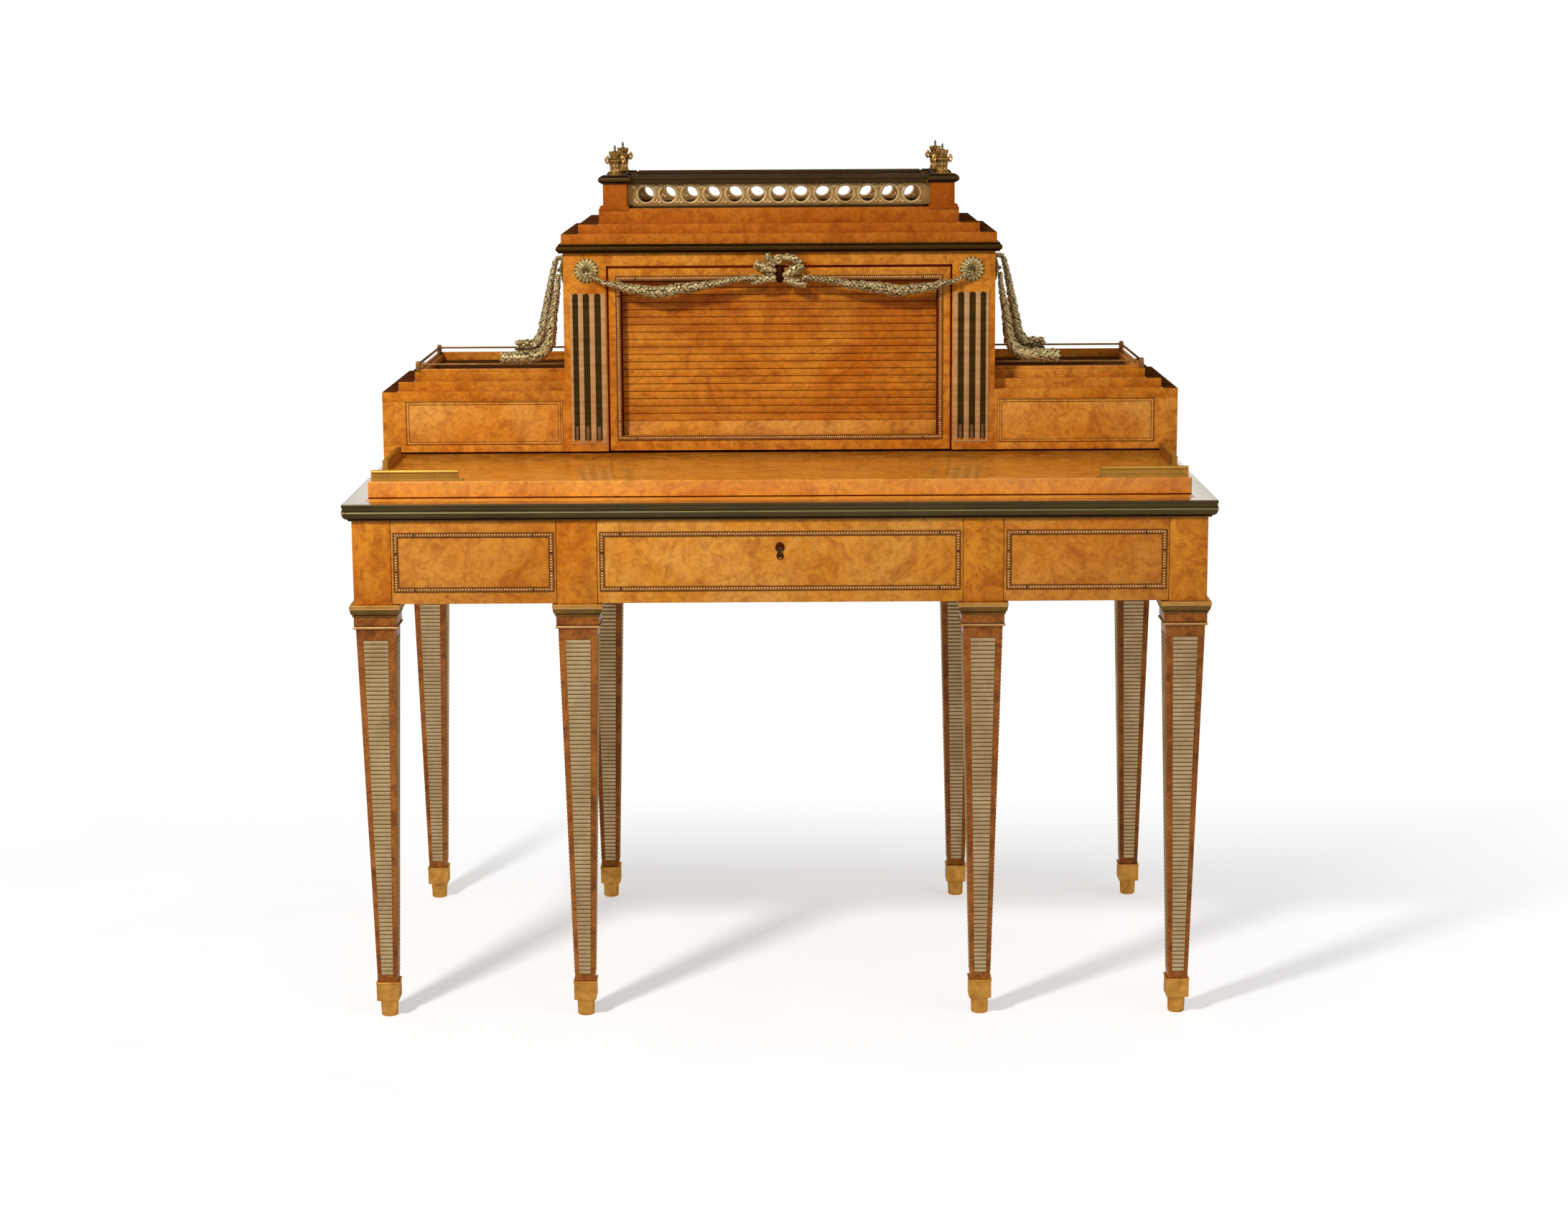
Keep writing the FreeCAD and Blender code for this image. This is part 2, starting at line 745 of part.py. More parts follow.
def build_centre_drawer():
    x = (-CENTRE_EDGE, CENTRE_EDGE)
    back_face = FRONT + S.drawer_front_thickness
    through = keyhole(FRONT - S.overrun, back_face + S.overrun)
    node("centre_drawer_front", [cut(drawer_front(x), through)])
    node("centre_drawer_box", frieze_drawer_box(x))
    node("centre_drawer_beads", bead_frame(x))

    plate_y = (FRONT - S.escutcheon_thickness, FRONT)
    head = rod(S.escutcheon_head_radius, S.escutcheon_thickness, ZERO, plate_y[0],
               KEYHOLE_HEIGHT + S.escutcheon_reach / 2, "y")
    foot = rod(S.escutcheon_foot_radius, S.escutcheon_thickness, ZERO, plate_y[0],
               KEYHOLE_HEIGHT - S.escutcheon_reach, "y")
    waist = box(both(ZERO, S.escutcheon_waist_width), plate_y,
                (KEYHOLE_HEIGHT - S.escutcheon_reach, KEYHOLE_HEIGHT + S.escutcheon_reach / 2))
    plate_hole = keyhole(FRONT - S.overrun, FRONT + S.overrun)
    node("keyhole_escutcheon", [cut(fuse([head, foot, waist]), plate_hole)])

    middle = lock_middle()
    case_top = FRIEZE_TOP - S.lock_headroom
    case = box(both(ZERO, S.lock_width), (back_face, back_face + S.lock_depth),
               (case_top - S.lock_case_height, case_top))
    bolt_low = case_top - S.bolt_length
    channel = box(both(ZERO, S.bolt_width + S.bolt_clearance * 2),
                  both(middle, S.bolt_thickness + S.bolt_clearance * 2),
                  (bolt_low - S.bolt_clearance, case_top + S.overrun))
    key_way = keyhole(back_face - S.overrun, back_face + S.keyhole_depth_in_lock)
    node("lock_case", [cut(case, fuse([channel, key_way]))])
    node("lock_bolt", [box(both(ZERO, S.bolt_width), both(middle, S.bolt_thickness),
                           (bolt_low, case_top))])


def build_side_drawers():
    for side, name in ((-1, "left"), (1, "right")):
        x = on_side(side, INNER_EDGE, OUTER_EDGE)
        node(f"{name}_drawer_front", [drawer_front(x)])
        node(f"{name}_drawer_box", frieze_drawer_box(x))
        node(f"{name}_drawer_beads", bead_frame(x))


# Writing slide

def slab_rail(length_ends, across_middle, along_x, tongue_side):
    """A moulded brass rail: a foot with a short tongue, a web and a cap."""
    web_bottom = SLAB_TOP + S.rail_foot_height
    web_top = SLAB_TOP + S.rail_height - S.rail_cap_height
    foot_ends = length_ends
    if tongue_side < 0:
        foot_ends = (length_ends[0] - S.rail_foot_tongue, length_ends[1])
    if tongue_side > 0:
        foot_ends = (length_ends[0], length_ends[1] + S.rail_foot_tongue)
    parts = (
        (foot_ends, S.rail_foot_width, SLAB_TOP, web_bottom),
        (length_ends, S.rail_web_width, web_bottom, web_top),
        (length_ends, S.rail_cap_width, web_top, SLAB_TOP + S.rail_height),
    )
    solids = []
    for ends, width, low, high in parts:
        across = both(across_middle, width)
        if along_x:
            solids.append(box(ends, across, (low, high)))
        else:
            solids.append(box(across, ends, (low, high)))
    return fuse(solids)


def build_writing_slide():
    slab_front = FRONT + S.slab_setback
    slab_back = BACK - S.board - S.slab_rear_gap
    slab = box((-SLAB_EDGE, SLAB_EDGE), (slab_front, slab_back),
               (SLAB_BOTTOM, SLAB_TOP))
    node("writing_slab", [rounded(slab, S.slab_radius, "front")])
    rail_y = slab_front + S.rail_setback + S.rail_foot_width / 2
    rail_end = SLAB_EDGE - S.rail_end_inset
    side_back = CASE_FRONT - S.side_rail_gap
    front_rails = []
    side_rails = []
    for side in (-1, 1):
        ends = on_side(side, rail_end - S.front_rail_length, rail_end)
        front_rails.append(slab_rail(ends, rail_y, True, -side))
        rail_x = (rail_end - S.rail_foot_width / 2) * side
        side_rails.append(slab_rail((rail_y + S.side_rail_front_gap, side_back), rail_x, False, 0))
    node("slab_front_rails", front_rails)
    node("slab_side_rails", side_rails)


# Upper case and wings

def build_case_base():
    bearer_x = HALF_WIDTH - S.bearer_width
    z = (S.table_height, CASE_BOTTOM)
    bearers = [box((-bearer_x, bearer_x), (BACK - S.board, BACK), z)]
    for side in (-1, 1):
        bearers.append(box(on_side(side, bearer_x, HALF_WIDTH), (CASE_FRONT, BACK), z))
    node("case_bearers", bearers)
    node("case_base", [box((-HALF_WIDTH, HALF_WIDTH), (CASE_INSIDE, BACK),
                           (CASE_BOTTOM, CASE_FLOOR))])


def wing_drawer_ends():
    """The inner and outer edge of a wing drawer's opening, on the right."""
    return (S.cabinet_half_width + S.wing_drawer_inner_inset,
            HALF_WIDTH - S.wing_drawer_side_inset)


def build_wings():
    inner, outer = wing_drawer_ends()
    upright = (CASE_FLOOR, WING_CEILING)
    guide_z = (CASE_FLOOR, CASE_FLOOR + S.wing_guide_height)
    end_face = HALF_WIDTH - S.case_board
    back_face = BACK - S.case_board
    carcases = []
    frames = []
    tops = []
    for side in (-1, 1):
        def across(low, high):
            return on_side(side, low, high)

        carcases.append(box(across(end_face, HALF_WIDTH), (CASE_INSIDE, BACK), upright))
        carcases.append(box(across(S.cabinet_half_width, end_face), (back_face, BACK), upright))
        carcases.append(box(across(S.cabinet_half_width, HALF_WIDTH), (CASE_FRONT, BACK),
                            (WING_CEILING, WING_TOP)))
        carcases.append(box(across(outer, end_face), (CASE_INSIDE, back_face), guide_z))
        carcases.append(box(across(S.cabinet_half_width, inner), (CASE_INSIDE, back_face), guide_z))
        frames.append(box(across(outer, HALF_WIDTH), (CASE_FRONT, CASE_INSIDE), upright))
        frames.append(box(across(S.cabinet_half_width, HALF_WIDTH), (CASE_FRONT, CASE_INSIDE),
                          (CASE_BOTTOM, CASE_FLOOR)))
        step_x = HALF_WIDTH - S.first_step_inset
        wall_x = HALF_WIDTH - S.second_step_inset
        wall_y = CASE_FRONT + S.second_step_inset
        wall_z = (FIRST_STEP_TOP, SECOND_STEP_TOP)
        inside_x = wall_x - S.tray_wall
        inside_front = wall_y + S.tray_wall
        inside_back = BACK - S.tray_wall
        tops.append(box(across(S.cabinet_half_width, step_x),
                        (CASE_FRONT + S.first_step_inset, BACK), (WING_TOP, FIRST_STEP_TOP)))
        tops.append(box(across(S.cabinet_half_width, inside_x), (inside_front, inside_back),
                        (FIRST_STEP_TOP, FIRST_STEP_TOP + S.tray_floor_thickness)))
        tops.append(box(across(S.cabinet_half_width, wall_x), (wall_y, inside_front), wall_z))
        tops.append(box(across(S.cabinet_half_width, wall_x), (inside_back, BACK), wall_z))
        tops.append(box(across(inside_x, wall_x), (inside_front, inside_back), wall_z))
    node("wing_carcases", carcases)
    node("wing_face_frames", frames)
    node("wing_stepped_tops", tops)


def build_wing_galleries():
    """Low brass galleries: a band, two corner posts with knobs and rods between them."""
    line_x = HALF_WIDTH - S.second_step_inset - S.gallery_inset
    line_front = CASE_FRONT + S.second_step_inset + S.gallery_inset
    line_back = BACK - S.gallery_inset
    half_post = S.gallery_post_width / 2
    band_z = (SECOND_STEP_TOP, SECOND_STEP_TOP + S.gallery_band_height)
    rod_z = SECOND_STEP_TOP + S.gallery_rod_height
    post_top = SECOND_STEP_TOP + S.gallery_post_height
    pieces = []
    for side in (-1, 1):
        for y in (line_front, line_back):
            x = line_x * side
            post = box(both(x, S.gallery_post_width), both(y, S.gallery_post_width),
                       (SECOND_STEP_TOP, post_top))
            pieces.append(fuse([post, ball(S.gallery_knob_radius, x, y, post_top)]))
            ends = on_side(side, S.cabinet_half_width, line_x - half_post)
            pieces.append(box(ends, both(y, S.gallery_band_thickness), band_z))
            pieces.append(rod(S.gallery_rod_radius, ends[1] - ends[0], ends[0], y, rod_z, "x"))
        side_ends = (line_front + half_post, line_back - half_post)
        pieces.append(box(both(line_x * side, S.gallery_band_thickness), side_ends, band_z))
        pieces.append(rod(S.gallery_rod_radius, side_ends[1] - side_ends[0], line_x * side,
                          side_ends[0], rod_z, "y"))
    node("wing_galleries", pieces)


def build_wing_drawers():
    inner, outer = wing_drawer_ends()
    z_front = (CASE_FLOOR + S.wing_drawer_gap, WING_CEILING - S.wing_drawer_gap)
    low = CASE_FLOOR + S.running_gap
    for side, name in ((-1, "left"), (1, "right")):
        ends = on_side(side, inner + S.wing_drawer_gap, outer - S.wing_drawer_gap)
        face_back = CASE_FRONT + S.wing_front_thickness
        node(f"{name}_wing_drawer_front", [box(ends, (CASE_FRONT, face_back), z_front)])
        node(f"{name}_wing_drawer_box",
             drawer_box(ends, (face_back, BACK - S.case_board - S.wing_drawer_rear_gap),
                        (low, low + S.wing_drawer_side_height),
                        S.wing_side_thickness, S.wing_bottom_thickness))
        node(f"{name}_wing_drawer_string",
             frame_bars(ends, (CASE_FRONT - S.string_proud, CASE_FRONT), z_front, S.string_width))


# Tambour cabinet

def build_cabinet():
    half = S.cabinet_half_width
    inside = half - S.case_board
    back_face = BACK - S.cabinet_back
    node("cabinet_carcase", [
        box((-half, -inside), (CASE_INSIDE, BACK), (CASE_FLOOR, CABINET_TOP)),
        box((inside, half), (CASE_INSIDE, BACK), (CASE_FLOOR, CABINET_TOP)),
        box((-inside, inside), (back_face, BACK), (CASE_FLOOR, CABINET_TOP)),
        box((-inside, inside), (CASE_INSIDE, back_face), (CABINET_CEILING, CABINET_TOP)),
    ])
    track_x = door_opening() + S.tambour_lap + S.tambour_gap
    wall_x = track_x + S.track_width
    walls = [box(on_side(side, wall_x, wall_x + S.inner_wall), (CASE_INSIDE, back_face),
                 (CASE_FLOOR, CABINET_CEILING)) for side in (-1, 1)]
    shelf_front = CASE_INSIDE + S.track_depth + S.track_back_thickness + S.shelf_setback
    shelf_low = CASE_FLOOR + S.shelf_rise
    shelf = box((-wall_x, wall_x), (shelf_front, back_face),
                (shelf_low, shelf_low + S.shelf_thickness))
    node("cabinet_interior", walls + [shelf])
    face = (CASE_FRONT, CASE_INSIDE)
    node("pilasters", [box(on_side(side, DOOR_EDGE, half), face, (CASE_BOTTOM, CABINET_TOP))
                       for side in (-1, 1)])
    node("frieze_rail", [box((-DOOR_EDGE, DOOR_EDGE), face,
                             (CABINET_TOP - S.frieze_rail_height, CABINET_TOP))])


def build_flutes():
    """Dark flutes in each pilaster with a brass fillet on both sides of every one."""
    middle = (DOOR_EDGE + S.cabinet_half_width) / 2
    flute_y = (CASE_FRONT - S.flute_proud, CASE_FRONT)
    fillet_y = (CASE_FRONT - S.fillet_proud, CASE_FRONT)
    flute_low = CASE_BOTTOM + S.flute_low_margin
    flute_z = (flute_low, flute_low + S.flute_height)
    fillet_z = (CASE_BOTTOM + S.fillet_low_margin, flute_z[1])
    fillet_width = S.flute_pitch - S.flute_width
    flute_count = math.floor((S.pilaster_width - fillet_width).value / S.flute_pitch.value)
    flutes = []
    fillets = []
    for side in (-1, 1):
        for index in range(flute_count):
            x = (middle + S.flute_pitch * (index - (flute_count - 1) / 2)) * side
            flutes.append(box(both(x, S.flute_width), flute_y, flute_z))
        for index in range(flute_count + 1):
            x = (middle + S.flute_pitch * (index - flute_count / 2)) * side
            fillets.append(box(both(x, fillet_width), fillet_y, fillet_z))
    node("flute_inlays", flutes)
    node("pilaster_fillets", fillets)


def door_opening():
    """Half the width of the opening in the tambour's frame."""
    return DOOR_EDGE - S.door_gap - S.door_stile_width


def build_door_frame():
    edge = DOOR_EDGE - S.door_gap
    opening = door_opening()
    y = (CASE_FRONT + S.door_setback, CASE_INSIDE)
    low = CASE_BOTTOM + S.door_gap
    top = CABINET_TOP - S.frieze_rail_height - S.door_gap
    hole_low = low + S.door_low_rail_height
    hole_top = top - S.door_top_rail_height
    node("door_frame", [
        box((-edge, edge), y, (low, hole_low)),
        box((-edge, edge), y, (hole_top, top)),
        box((-edge, -opening), y, (hole_low, hole_top)),
        box((opening, edge), y, (hole_low, hole_top)),
    ])
    bead_x = opening + S.door_bead_width
    bead_y = (y[0] - S.door_bead_proud, y[0])
    node("door_beads", frame_bars((-bead_x, bead_x), bead_y,
                                  (hole_low - S.door_bead_width, hole_top + S.door_bead_width),
                                  S.door_bead_width))


def build_tambour():
    half = door_opening() + S.tambour_lap
    slat_y = (CASE_INSIDE + S.tambour_gap, CASE_INSIDE + S.tambour_gap + S.slat_thickness)
    rail_y = (slat_y[0], slat_y[0] + S.tambour_rail_thickness)
    rail_low = CASE_FLOOR + S.running_gap
    rail_top = rail_low + S.tambour_rail_height
    low = rail_top + S.running_gap
    slats = []
    count = math.floor((CABINET_CEILING.value - low.value) / S.slat_pitch.value)
    for index in range(count):
        slat_low = low + S.slat_pitch * index
        slats.append(box((-half, half), slat_y, (slat_low, slat_low + S.slat_pitch - S.slat_joint)))
    canvas_y = (slat_y[1], slat_y[1] + S.canvas_thickness)
    slats.append(box((-half, half), canvas_y, (low, CABINET_CEILING)))
    node("tambour_slats", slats)
    node("tambour_rail", [box((-half, half), rail_y, (rail_low, rail_top))])
    track_x = half + S.tambour_gap
    opening = door_opening()
    track_back = CASE_INSIDE + S.track_depth
    tracks = []
    for side in (-1, 1):
        tracks.append(box(on_side(side, track_x, track_x + S.track_width),
                          (CASE_INSIDE, track_back), (CASE_FLOOR, CABINET_CEILING)))
        tracks.append(box(on_side(side, opening, track_x + S.track_width),
                          (track_back, track_back + S.track_back_thickness),
                          (CASE_FLOOR, CABINET_CEILING)))
    node("tambour_tracks", tracks)


# Cornice, attic and gallery

def build_attic():
    half = S.cabinet_half_width
    out_x = half + S.cornice_overhang
    out_front = CASE_FRONT - S.cornice_overhang
    out_back = BACK + S.cornice_overhang
    torus_z = (CABINET_TOP, CORNICE_TOP)
    torus = rounded(box((-out_x, out_x), (out_front, out_back), torus_z),
                    S.cornice_radius, "top bottom")
    core = box((-half, half), (CASE_FRONT, BACK),
               (CABINET_TOP - S.overrun, CORNICE_TOP + S.overrun))
    node("cornice_moulding", [cut(torus, core)])
    first = half + S.attic_first_overhang
    second = half - S.attic_second_inset
    third = half - S.attic_third_inset
    node("attic_steps", [
        box((-half, half), (CASE_FRONT, BACK), torus_z),
        box((-first, first), (CASE_FRONT - S.attic_first_overhang, BACK + S.attic_first_overhang),
            (CORNICE_TOP, ATTIC_FIRST_TOP)),
        box((-second, second),
            (CASE_FRONT + S.attic_second_inset, BACK - S.attic_second_back_inset),
            (ATTIC_FIRST_TOP, ATTIC_SECOND_TOP)),
        box((-third, third),
            (CASE_FRONT + S.attic_third_inset, BACK - S.attic_third_back_inset),
            (ATTIC_SECOND_TOP, ATTIC_FLOOR)),
    ])


def post_lines():
    """The X of the right posts' middles and the Y of the front and back ones."""
    to_middle = S.post_edge + S.post_width / 2
    x = S.cabinet_half_width - S.attic_third_inset - to_middle
    front = CASE_FRONT + S.attic_third_inset + to_middle
    back = BACK - S.attic_third_back_inset - to_middle
    return x, front, back


def build_gallery():
    line_x, line_front, line_back = post_lines()
    cap_width = S.post_width + S.cap_overhang * 2
    foot_width = S.post_width + S.post_foot_overhang * 2
    posts = []
    coping = []
    for side in (-1, 1):
        for y in (line_front, line_back):
            x = line_x * side
            shaft = box(both(x, S.post_width), both(y, S.post_width), (ATTIC_FLOOR, POST_TOP))
            foot = box(both(x, foot_width), both(y, foot_width),
                       (ATTIC_FLOOR, ATTIC_FLOOR + S.post_foot_height))
            posts.append(fuse([shaft, foot]))
            cap = box(both(x, cap_width), both(y, cap_width), (POST_TOP, CAP_TOP))
            coping.append(rounded(cap, S.cap_radius, "top bottom"))
        side_ends = (line_front + cap_width / 2, line_back - cap_width / 2)
        coping.append(box(both(line_x * side, S.coping_width), side_ends, (POST_TOP, CAP_TOP)))
    front_end = line_x - cap_width / 2
    for y in (line_front, line_back):
        coping.append(box((-front_end, front_end), both(y, S.coping_width), (POST_TOP, CAP_TOP)))
    node("attic_posts", posts)
    node("attic_coping", coping)


def fret(ends, across_middle, along_x):
    """A pierced plate: a row of rings, with small holes above and below between them."""
    across = both(across_middle, S.fret_thickness)
    through = both(across_middle, S.fret_thickness + S.overrun * 2)
    depth = S.fret_thickness + S.overrun * 2
    z = (ATTIC_FLOOR, POST_TOP)
    centre_z = ATTIC_FLOOR + S.ring_centre_height
    middle = (ends[0] + ends[1]) / 2
    ring_count = math.floor((ends[1] - ends[0]).value / S.ring_pitch.value)
    holes = []
    for index in range(ring_count):
        place_along = middle + S.ring_pitch * (index - (ring_count - 1) / 2)
        spots = [(place_along, centre_z, S.ring_hole_radius)]
        if index + 1 < ring_count:
            between = place_along + S.ring_pitch / 2
            spots.append((between, centre_z + S.spandrel_hole_offset, S.spandrel_hole_radius))
            spots.append((between, centre_z - S.spandrel_hole_offset, S.spandrel_hole_radius))
        for along, height, radius in spots:
            if along_x:
                holes.append(rod(radius, depth, along, through[0], height, "y"))
            else:
                holes.append(rod(radius, depth, through[0], along, height, "x"))
    plate = box(ends, across, z) if along_x else box(across, ends, z)
    return cut(plate, group(holes))


def build_frets():
    line_x, line_front, line_back = post_lines()
    half_post = S.post_width / 2
    foot = half_post + S.post_foot_overhang
    plates = []
    for y in (line_front, line_back):
        plates.append(fret((foot - line_x, line_x - foot), y, True))
    for side in (-1, 1):
        plates.append(fret((line_front + foot, line_back - foot), line_x * side, False))
    node("attic_frets", plates)


# Turned finial: low radius, top radius and height of each stage, as shares of the whole
finial_stage_shares = (
    (0.85, 0.75, 0.07),
    (0.55, 0.30, 0.16),
    (0.38, 0.95, 0.27),
    (1.00, 1.00, 0.08),
    (0.85, 0.40, 0.21),
    (0.24, 0.10, 0.21),
)


def finial(x, y):
    low = CAP_TOP
    stages = []
    for low_share, top_share, height_share in finial_stage_shares:
        height = S.finial_height * height_share
        stages.append(cone(S.finial_radius * low_share, S.finial_radius * top_share,
                           height, x, y, low))
        low = low + height
    return fuse(stages)


def build_finials():
    line_x, line_front, line_back = post_lines()
    node("finials", [finial(line_x * side, y) for side in (-1, 1)
                     for y in (line_front, line_back)])


# Gilt ornaments

ROSETTE_HEIGHT = CABINET_TOP - S.rosette_drop
ROSETTE_MIDDLE = S.cabinet_half_width - S.rosette_inset

# Front garland from its rosette to the bow: run, sag and thickness
front_garland_shares = (
    (0.06, 0.36, 0.31),
    (0.11, 0.56, 0.38),
    (0.19, 0.66, 0.57),
    (0.24, 0.80, 0.75),
    (0.36, 0.93, 0.90),
    (0.42, 1.00, 1.00),
    (0.50, 0.92, 1.00),
    (0.57, 0.82, 0.93),
    (0.66, 0.74, 0.80),
    (0.74, 0.67, 0.64),
    (0.83, 0.50, 0.50),
    (0.92, 0.40, 0.42),
    (1.00, 0.34, 0.40),
)

# Side garlands from the rosette to where they lie: reach, run back, fall and thickness
near_garland_shares = (
    (0.012, 0.10, 0.135, 0.36),
    (0.055, 0.30, 0.295, 0.50),
    (0.110, 0.50, 0.463, 0.62),
    (0.143, 0.68, 0.654, 0.75),
    (0.187, 0.85, 0.837, 0.85),
    (0.297, 0.96, 0.937, 0.93),
    (0.470, 1.00, 0.990, 1.00),
    (1.000, 1.00, 1.000, 1.00),
)
far_garland_shares = (
    (0.315, 0.07, 0.057, 0.36),
    (0.400, 0.25, 0.420, 0.55),
    (0.445, 0.42, 0.590, 0.69),
    (0.489, 0.62, 0.766, 0.85),
    (0.525, 0.80, 0.880, 0.93),
    (0.640, 1.00, 0.985, 1.00),
    (1.000, 1.00, 1.000, 1.00),
)

# Leaves of the bow: both ends across and down, and the thickness at each
bow_leaf_shares = (
    (0.00, 0.20, 0.24, 0.56, 0.80, 1.00),
    (0.20, 0.56, 0.88, 0.30, 0.80, 0.60),
    (0.20, 0.60, 0.88, 0.82, 1.00, 0.80),
)

# How far a strand that leans on a rod lies from it, down and sideways alike
lean_share = math.sqrt(0.5)


def rosette(x, y, z, facing):
    """A disc with a boss, standing on a face whose outward direction is given."""
    disc_end = S.rosette_thickness
    boss_end = S.rosette_thickness + S.rosette_boss_height
    if facing == "front":
        disc = rod(S.rosette_radius, disc_end, x, y - disc_end, z, "y")
        boss = rod(S.rosette_boss_radius, boss_end, x, y - boss_end, z, "y")
    elif facing == "right":
        disc = rod(S.rosette_radius, disc_end, x, y, z, "x")
        boss = rod(S.rosette_boss_radius, boss_end, x, y, z, "x")
    else:
        disc = rod(S.rosette_radius, disc_end, x - disc_end, y, z, "x")
        boss = rod(S.rosette_boss_radius, boss_end, x - boss_end, y, z, "x")
    return fuse([disc, boss])


def side_rosette_lines():
    """The Y of the front and of the back rosette on each side of the cabinet."""
    return CASE_FRONT + S.side_rosette_setback, BACK - S.side_rosette_back_inset


def build_rosettes():
    pieces = []
    for side, facing in ((-1, "left"), (1, "right")):
        pieces.append(rosette(ROSETTE_MIDDLE * side, CASE_FRONT, ROSETTE_HEIGHT, "front"))
        for y in side_rosette_lines():
            pieces.append(rosette(S.cabinet_half_width * side, y, ROSETTE_HEIGHT, facing))
    node("rosettes", pieces)


def front_garland(side):
    """A garland that starts at the side of the rosette's boss and sags on its way to the bow."""
    boss_x = ROSETTE_MIDDLE
    y = CASE_FRONT - S.rosette_thickness - S.rosette_boss_height
    run = boss_x - S.garland_end_offset
    line = [(boss_x - run * run_share, ROSETTE_HEIGHT - S.garland_sag * sag_share)
            for run_share, sag_share, width_share in front_garland_shares]
    radii = [S.garland_radius * row[-1] for row in front_garland_shares]
    first_x, first_z = line[0]
    towards = vector((first_x - boss_x, ZERO, first_z - ROSETTE_HEIGHT)).normalize()
    hook = S.rosette_boss_radius + S.hanging_gap
    line.insert(0, (boss_x + hook * towards.x, ROSETTE_HEIGHT + hook * towards.z))
    radii.insert(0, radii[0])
    return swept_tube([(x * side, y, z) for x, z in line], radii)


def side_garland(side, start, end, shares):
    """A garland from a start at the rosette to the end of its run along the gallery rod."""
    points = [start]
    radii = [S.side_garland_start_radius]
    for row in shares:
        points.append(tuple(low + (high - low) * share
                            for low, high, share in zip(start, end, row)))
        radii.append(S.side_garland_radius * row[-1])
    return swept_tube([(x * side, y, z) for x, y, z in points], radii)


def build_side_garlands():
    near_y, far_y = side_rosette_lines()
    disc_face = S.cabinet_half_width + S.rosette_thickness
    near_start = (disc_face + S.side_garland_start_radius + S.hanging_gap, near_y,
                  ROSETTE_HEIGHT - S.rosette_boss_radius - S.hanging_gap * 2)
    far_start = (disc_face + S.rosette_boss_height + S.hanging_gap * 3, far_y, ROSETTE_HEIGHT)
    rod_z = SECOND_STEP_TOP + S.gallery_rod_height
    line_front = CASE_FRONT + S.second_step_inset + S.gallery_inset
    line_back = BACK - S.gallery_inset
    away = S.gallery_rod_radius + S.side_garland_radius + S.hanging_gap
    near_end = (S.cabinet_half_width + S.near_garland_reach, line_front, rod_z + away)
    far_end = (S.cabinet_half_width + S.far_garland_reach, line_back - away * lean_share, rod_z + away * lean_share)
    strands = []
    for side in (-1, 1):
        strands.append(side_garland(side, near_start, near_end, near_garland_shares))
        strands.append(side_garland(side, far_start, far_end, far_garland_shares))
    node("side_garlands", strands)


def bow_leaf(side, row, y):
    """A leaf of the bow, as a cone from one end to the other."""
    x_low, drop_low, x_high, drop_high, width_low, width_high = row
    top = CABINET_TOP - S.bow_top_drop
    low = (S.bow_half_width * x_low * side, y, top - S.bow_height * drop_low)
    high = (S.bow_half_width * x_high * side, y, top - S.bow_height * drop_high)
    return swept_tube([low, high],
                      [S.bow_leaf_radius * width_low, S.bow_leaf_radius * width_high])


def build_bow():
    y = CASE_FRONT - S.bow_stand_off
    knot_z = CABINET_TOP - S.bow_knot_drop
    pieces = [rod(S.bow_knot_radius, S.bow_knot_height, ZERO, CASE_FRONT - S.bow_knot_height,
                  knot_z, "y")]
    for side in (-1, 1):
        loop = DOC.addObject("Part::Torus", "loop")
        loop.setExpression("Radius1", S.bow_loop_radius.formula)
        loop.setExpression("Radius2", S.bow_loop_strand_radius.formula)
        loop.Placement = FreeCAD.Placement(FreeCAD.Vector(), FreeCAD.Rotation(X_AXIS, -90))
        place(loop, S.bow_loop_offset * side, y, CABINET_TOP - S.bow_loop_drop)
        pieces.append(loop)
        for row in bow_leaf_shares:
            pieces.append(bow_leaf(side, row, y))
    node("ribbon_bow", [fuse(pieces)])


def build_garlands():
    node("front_garlands", [front_garland(side) for side in (-1, 1)])
    build_side_garlands()
    build_bow()


def check_and_export():
    """Stop on any failed object or bad shape, then write one file for each node."""
    DOC.recompute()
    for item in DOC.Objects:
        if "Invalid" in item.State or "Error" in item.State:
            raise RuntimeError(f"{item.Name} ({item.Label}) failed: {item.State}")
    for item in NODES:
        if item.Shape.isNull() or not item.Shape.isValid() or not item.Shape.Solids:
            raise RuntimeError(f"{item.Label} has no valid shape")
    os.makedirs("parts", exist_ok=True)
    for item in NODES:
        item.Shape.exportStep(os.path.join("parts", item.Label + ".step"))
    print(len(NODES), "nodes,", sum(len(item.Shape.Solids) for item in NODES), "solids")


build_legs()
build_frieze()
build_runners()
build_table_top()
build_centre_drawer()
build_side_drawers()
build_writing_slide()
build_case_base()
build_wings()
build_wing_galleries()
build_wing_drawers()
build_cabinet()
build_flutes()
build_door_frame()
build_tambour()
build_attic()
build_gallery()
build_frets()
build_finials()
build_rosettes()
build_garlands()
check_and_export()
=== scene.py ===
import json
import math
import random

import bmesh
import bpy
from mathutils import Matrix, Vector


